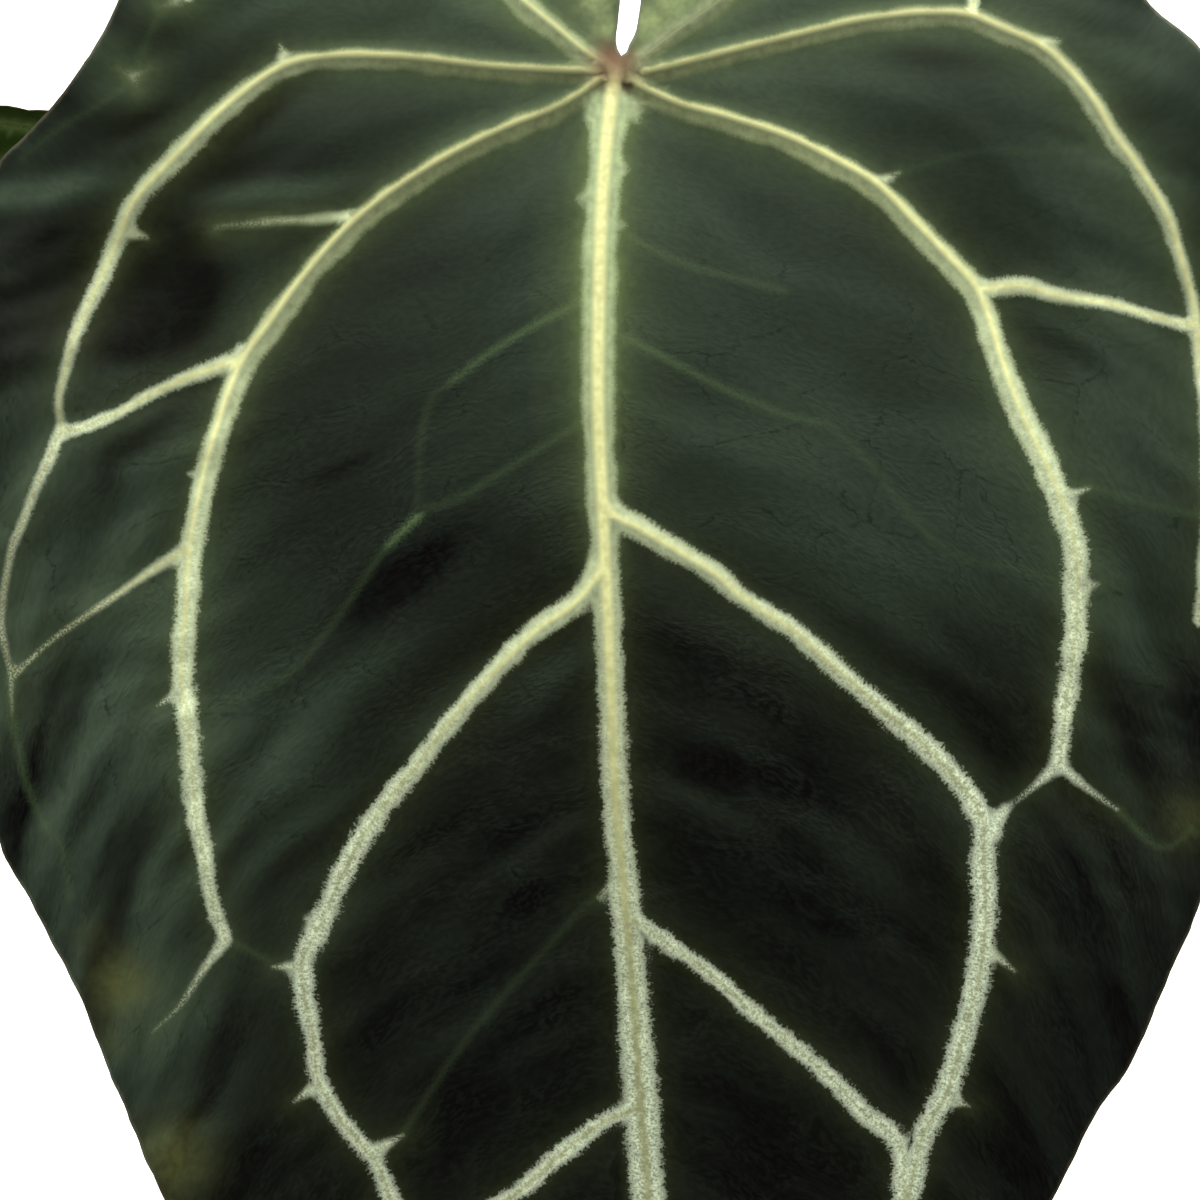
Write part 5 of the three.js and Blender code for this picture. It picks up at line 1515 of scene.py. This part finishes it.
def stem_finish():
    finish, tree, shader = finish_named("stem_bark")
    place = node(tree, "TexCoord").outputs["Object"]
    height = parts(tree, place)[2]
    patches = grain(tree, place, 160, 4, 0.65, "3D")
    colour = mixed(tree, fade(tree, patches, 0.35, 0.65), (0.12, 0.085, 0.035), (0.20, 0.15, 0.06))
    colour = mixed(tree, fade(tree, height, 0.125, 0.15, 0, 0.75), colour, (0.13, 0.16, 0.05))
    rings = grain(tree, stretched(tree, place, (20, 20, 900)), 1.0, 2, 0.5, "3D")
    colour = mixed(tree, fade(tree, rings, 0.55, 0.7, 0, 0.6), colour, (0.06, 0.038, 0.016))
    relief = maths(tree, "MULTIPLY_ADD", rings, 0.3, times(tree, patches, 0.2))
    coat(tree, shader, colour, 0.7, relief=relief)
    return finish


stem = new_piece("stem", stem_mesh, (stem_finish(),))

# %% Roots
ROOT_RADIUS = 2.2
ROOT_STEP = 1.6
ROOT_SIDES = 12
ROOTS = [
    {"angle": 20, "start": 104, "rise": 0, "reach": 36, "depth": 30, "size": 1},
    {"angle": 82, "start": 98, "rise": 0, "reach": 33, "depth": 24, "size": 0.8},
    {"angle": 150, "start": 102, "rise": 0, "reach": 38, "depth": 36, "size": 1},
    {"angle": 205, "start": 96, "rise": 0, "reach": 31, "depth": 22, "size": 0.85},
    {"angle": 262, "start": 100, "rise": 0, "reach": 36, "depth": 32, "size": 1},
    {"angle": 318, "start": 94, "rise": 0, "reach": 32, "depth": 20, "size": 0.8},
    {"angle": -48, "start": 124, "rise": 5, "reach": 34, "depth": 84, "size": 1},
    {"angle": 214, "start": 123, "rise": 6, "reach": 30, "depth": 88, "size": 0.9},
    {"angle": 90, "start": 123, "rise": 4, "reach": 36, "depth": 86, "size": 1},
]


def root_line(root):
    """From inside the stem, out and then down, swinging a little round the stem."""
    drop = root["start"] - root["depth"]
    spots = [(STEM_RADIUS * 0.4, root["start"], 0), (STEM_RADIUS + 5, root["start"] + root["rise"], 0),
             (root["reach"] * 0.62, root["start"] + root["rise"] * 0.4 - drop * 0.18, 0.12),
             (root["reach"] * 0.9, root["start"] - drop * 0.5, 0.25), (root["reach"], root["depth"], 0.3)]
    turn = math.radians(root["angle"])
    points = [(math.cos(turn + swing) * out, math.sin(turn + swing) * out, z) for out, z, swing in spots]
    return smooth_line(points, ROOT_STEP)


def root_finish():
    finish, tree, shader = finish_named("root_skin")
    way = stored(tree, "way")
    patches = grain(tree, stretched(tree, way, (0.5, 0.5, 0.16)), 1.0, 4, 0.65, "3D")
    colour = mixed(tree, fade(tree, patches, 0.3, 0.7), (0.20, 0.15, 0.075), (0.36, 0.31, 0.19))
    fine = grain(tree, stretched(tree, way, (2.5, 2.5, 0.8)), 1.0, 3, 0.7, "3D")
    relief = maths(tree, "MULTIPLY_ADD", fine, 0.25, times(tree, patches, 0.3))
    coat(tree, shader, colour, 0.85, relief=relief)
    return finish


root_mesh = bmesh.new()
for order, root in enumerate(ROOTS):
    width = ROOT_RADIUS * root["size"]

    def root_radius(share, angle):
        knots = 1 + 0.09 * math.sin(share * 23 + order) + 0.05 * math.sin(share * 51 + order * 2 + angle)
        tip = min(1, math.sqrt(max(0.0, 1.002 - share) * 12))
        return width * (1 - 0.55 * share) * knots * tip

    tube(root_mesh, root_line(root), root_radius, ROOT_SIDES)
smooth_faces(root_mesh)
roots = new_piece("roots", root_mesh, (root_finish(),))
for piece in (stem, roots):
    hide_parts("rootstock")
    print(piece.name, "faces:", len(piece.data.polygons))

# %% [markdown]
# ## Papery collar
# Each new leaf leaves a dry sheath behind, and these stand round the foot of the stem as thin pointed
# bracts. Each bract is a small grid that is bent round the stem, narrowed to a point and given thickness.

# %% Bracts
BRACT_COUNT = 11
BRACT_FOOT = 111.7
BRACT_RADIUS = 8.7
BRACT_THICK = 0.3
TOP_BRACT_COUNT = 6
TOP_BRACT_FOOT = 128
TOP_BRACT_HEIGHTS = (138, 148, 153, 160)
TOP_BRACT_RADII = (8.3, 6.4, 4, 3.2)


def add_bract(mesh, order, count, foot, tall, wide, radius_at, flare):
    """One of count bracts in a ring; radius_at gives how far out it lies at each height."""
    middle = order / count * 2 * math.pi + draw.uniform(-0.1, 0.1)
    layer = 0.35 * (order % 3)
    made = bmesh.ops.create_grid(mesh, x_segments=8, y_segments=12, size=1)
    for vertex in made["verts"]:
        side, up = vertex.co.x, (vertex.co.y + 1) / 2
        z = foot + tall * up * (1 + 0.08 * math.sin(side * 17 + order))
        narrow = (1 - up ** 2.2) ** 0.6 if up < 1 else 0
        angle = middle + wide * side * narrow
        waves = 0.25 * side * math.sin(up * 5 + order) + 0.3 * abs(side) * up
        radius = radius_at(z) + layer + flare * up ** 2 + waves
        vertex.co = Vector((math.cos(angle) * radius, math.sin(angle) * radius, z)) * MM


bracts = bmesh.new()
for k in range(BRACT_COUNT):
    add_bract(bracts, k, BRACT_COUNT, BRACT_FOOT, draw.uniform(8.0, 10.6), draw.uniform(0.42, 0.58),
              lambda z: BRACT_RADIUS, draw.uniform(0.4, 1.3))
for k in range(TOP_BRACT_COUNT):
    add_bract(bracts, k, TOP_BRACT_COUNT, TOP_BRACT_FOOT + k, draw.uniform(21, 28), draw.uniform(0.7, 0.9),
              lambda z: np.interp(z, TOP_BRACT_HEIGHTS, TOP_BRACT_RADII), draw.uniform(0.2, 0.9))
bmesh.ops.remove_doubles(bracts, verts=bracts.verts, dist=0.01 * MM)
smooth_faces(bracts)
bmesh.ops.solidify(bracts, geom=bracts.faces[:], thickness=BRACT_THICK * MM)
smooth_faces(bracts)


def paper_finish():
    finish, tree, shader = finish_named("dry_sheath")
    place = node(tree, "TexCoord").outputs["Object"]
    fibres = grain(tree, stretched(tree, place, (1500, 1500, 90)), 1.0, 3, 0.6, "3D")
    patches = grain(tree, place, 210, 3, 0.6, "3D")
    colour = mixed(tree, fade(tree, fibres, 0.35, 0.65), (0.17, 0.095, 0.04), (0.36, 0.24, 0.12))
    colour = mixed(tree, fade(tree, patches, 0.45, 0.7, 0, 0.6), colour, (0.09, 0.05, 0.022))
    coat(tree, shader, colour, 0.8, 0.25, times(tree, fibres, 0.2))
    return finish


dry = paper_finish()
collar = new_piece("old_sheaths", bracts, (dry,))
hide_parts("papery_collar")
print("bract faces:", len(collar.data.polygons))

# %% [markdown]
# ## New shoot
# The next leaf stands rolled up on top of the stem. A bar whose radius shrinks once round gives the rolled
# edge, and turning that edge along the bar winds it. A thin sheath wraps its lower half.

# %% Rolled leaf
SHOOT_FOOT = STEM_TOP + 0.3
SHOOT_RADIUS = 3
shoot_line = smooth_line([(0, 0, SHOOT_FOOT), (0.4, 0.3, SHOOT_FOOT + 14), (1.4, 0.8, SHOOT_FOOT + 30),
                          (3.4, 1.6, SHOOT_FOOT + 52)], 0.8)


def shoot_girth(share):
    return SHOOT_RADIUS * max(0.1, math.sin(math.pi * (0.28 + 0.7 * share)))


def rolled(share, angle):
    turned = (angle / (2 * math.pi) + share * 0.55) % 1
    foot = min(1, 0.75 + share * 8)
    return shoot_girth(share) * foot * (1.0 - 0.16 * turned) * (0.82 if share < 0.42 else 1)


shoot_mesh = bmesh.new()
tube(shoot_mesh, shoot_line, rolled, 48)
smooth_faces(shoot_mesh)


def shoot_finish():
    finish, tree, shader = finish_named("rolled_leaf")
    way = stored(tree, "way")
    along = parts(tree, way)[2]
    streaks = grain(tree, stretched(tree, way, (1.6, 1.6, 0.12)), 1.0, 3, 0.6, "3D")
    colour = mixed(tree, fade(tree, streaks, 0.35, 0.65), (0.13, 0.065, 0.03), (0.22, 0.13, 0.05))
    colour = mixed(tree, fade(tree, along, 40, 10, 0, 0.6), colour, (0.17, 0.19, 0.07))
    coat(tree, shader, colour, 0.4, relief=times(tree, streaks, 0.15))
    return finish


shoot = new_piece("rolled_leaf", shoot_mesh, (shoot_finish(),))

# %% Sheath
SHEATH_SHARE = 0.5
SHEATH_TURN = 3.3
SHEATH_THICK = 0.2
sheath_mesh = bmesh.new()
made = bmesh.ops.create_grid(sheath_mesh, x_segments=28, y_segments=24, size=1)
for vertex in made["verts"]:
    around, up = vertex.co.x, (vertex.co.y + 1) / 2
    share = up * SHEATH_SHARE * (0.7 + 0.3 * math.cos(around * math.pi / 2) ** 2)
    middle = Vector(shoot_line[int(share * (len(shoot_line) - 1))])
    angle = around * SHEATH_TURN
    radius = shoot_girth(share) * min(1, 0.8 + share * 6) * (0.97 + 0.05 * around)
    vertex.co = (middle + Vector((math.cos(angle), math.sin(angle), 0)) * radius) * MM
smooth_faces(sheath_mesh)
bmesh.ops.solidify(sheath_mesh, geom=sheath_mesh.faces[:], thickness=SHEATH_THICK * MM)
smooth_faces(sheath_mesh)
sheath = new_piece("shoot_sheath", sheath_mesh, (dry,))
for piece in (shoot, sheath):
    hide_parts("new_shoot")
    print(piece.name, "faces:", len(piece.data.polygons))
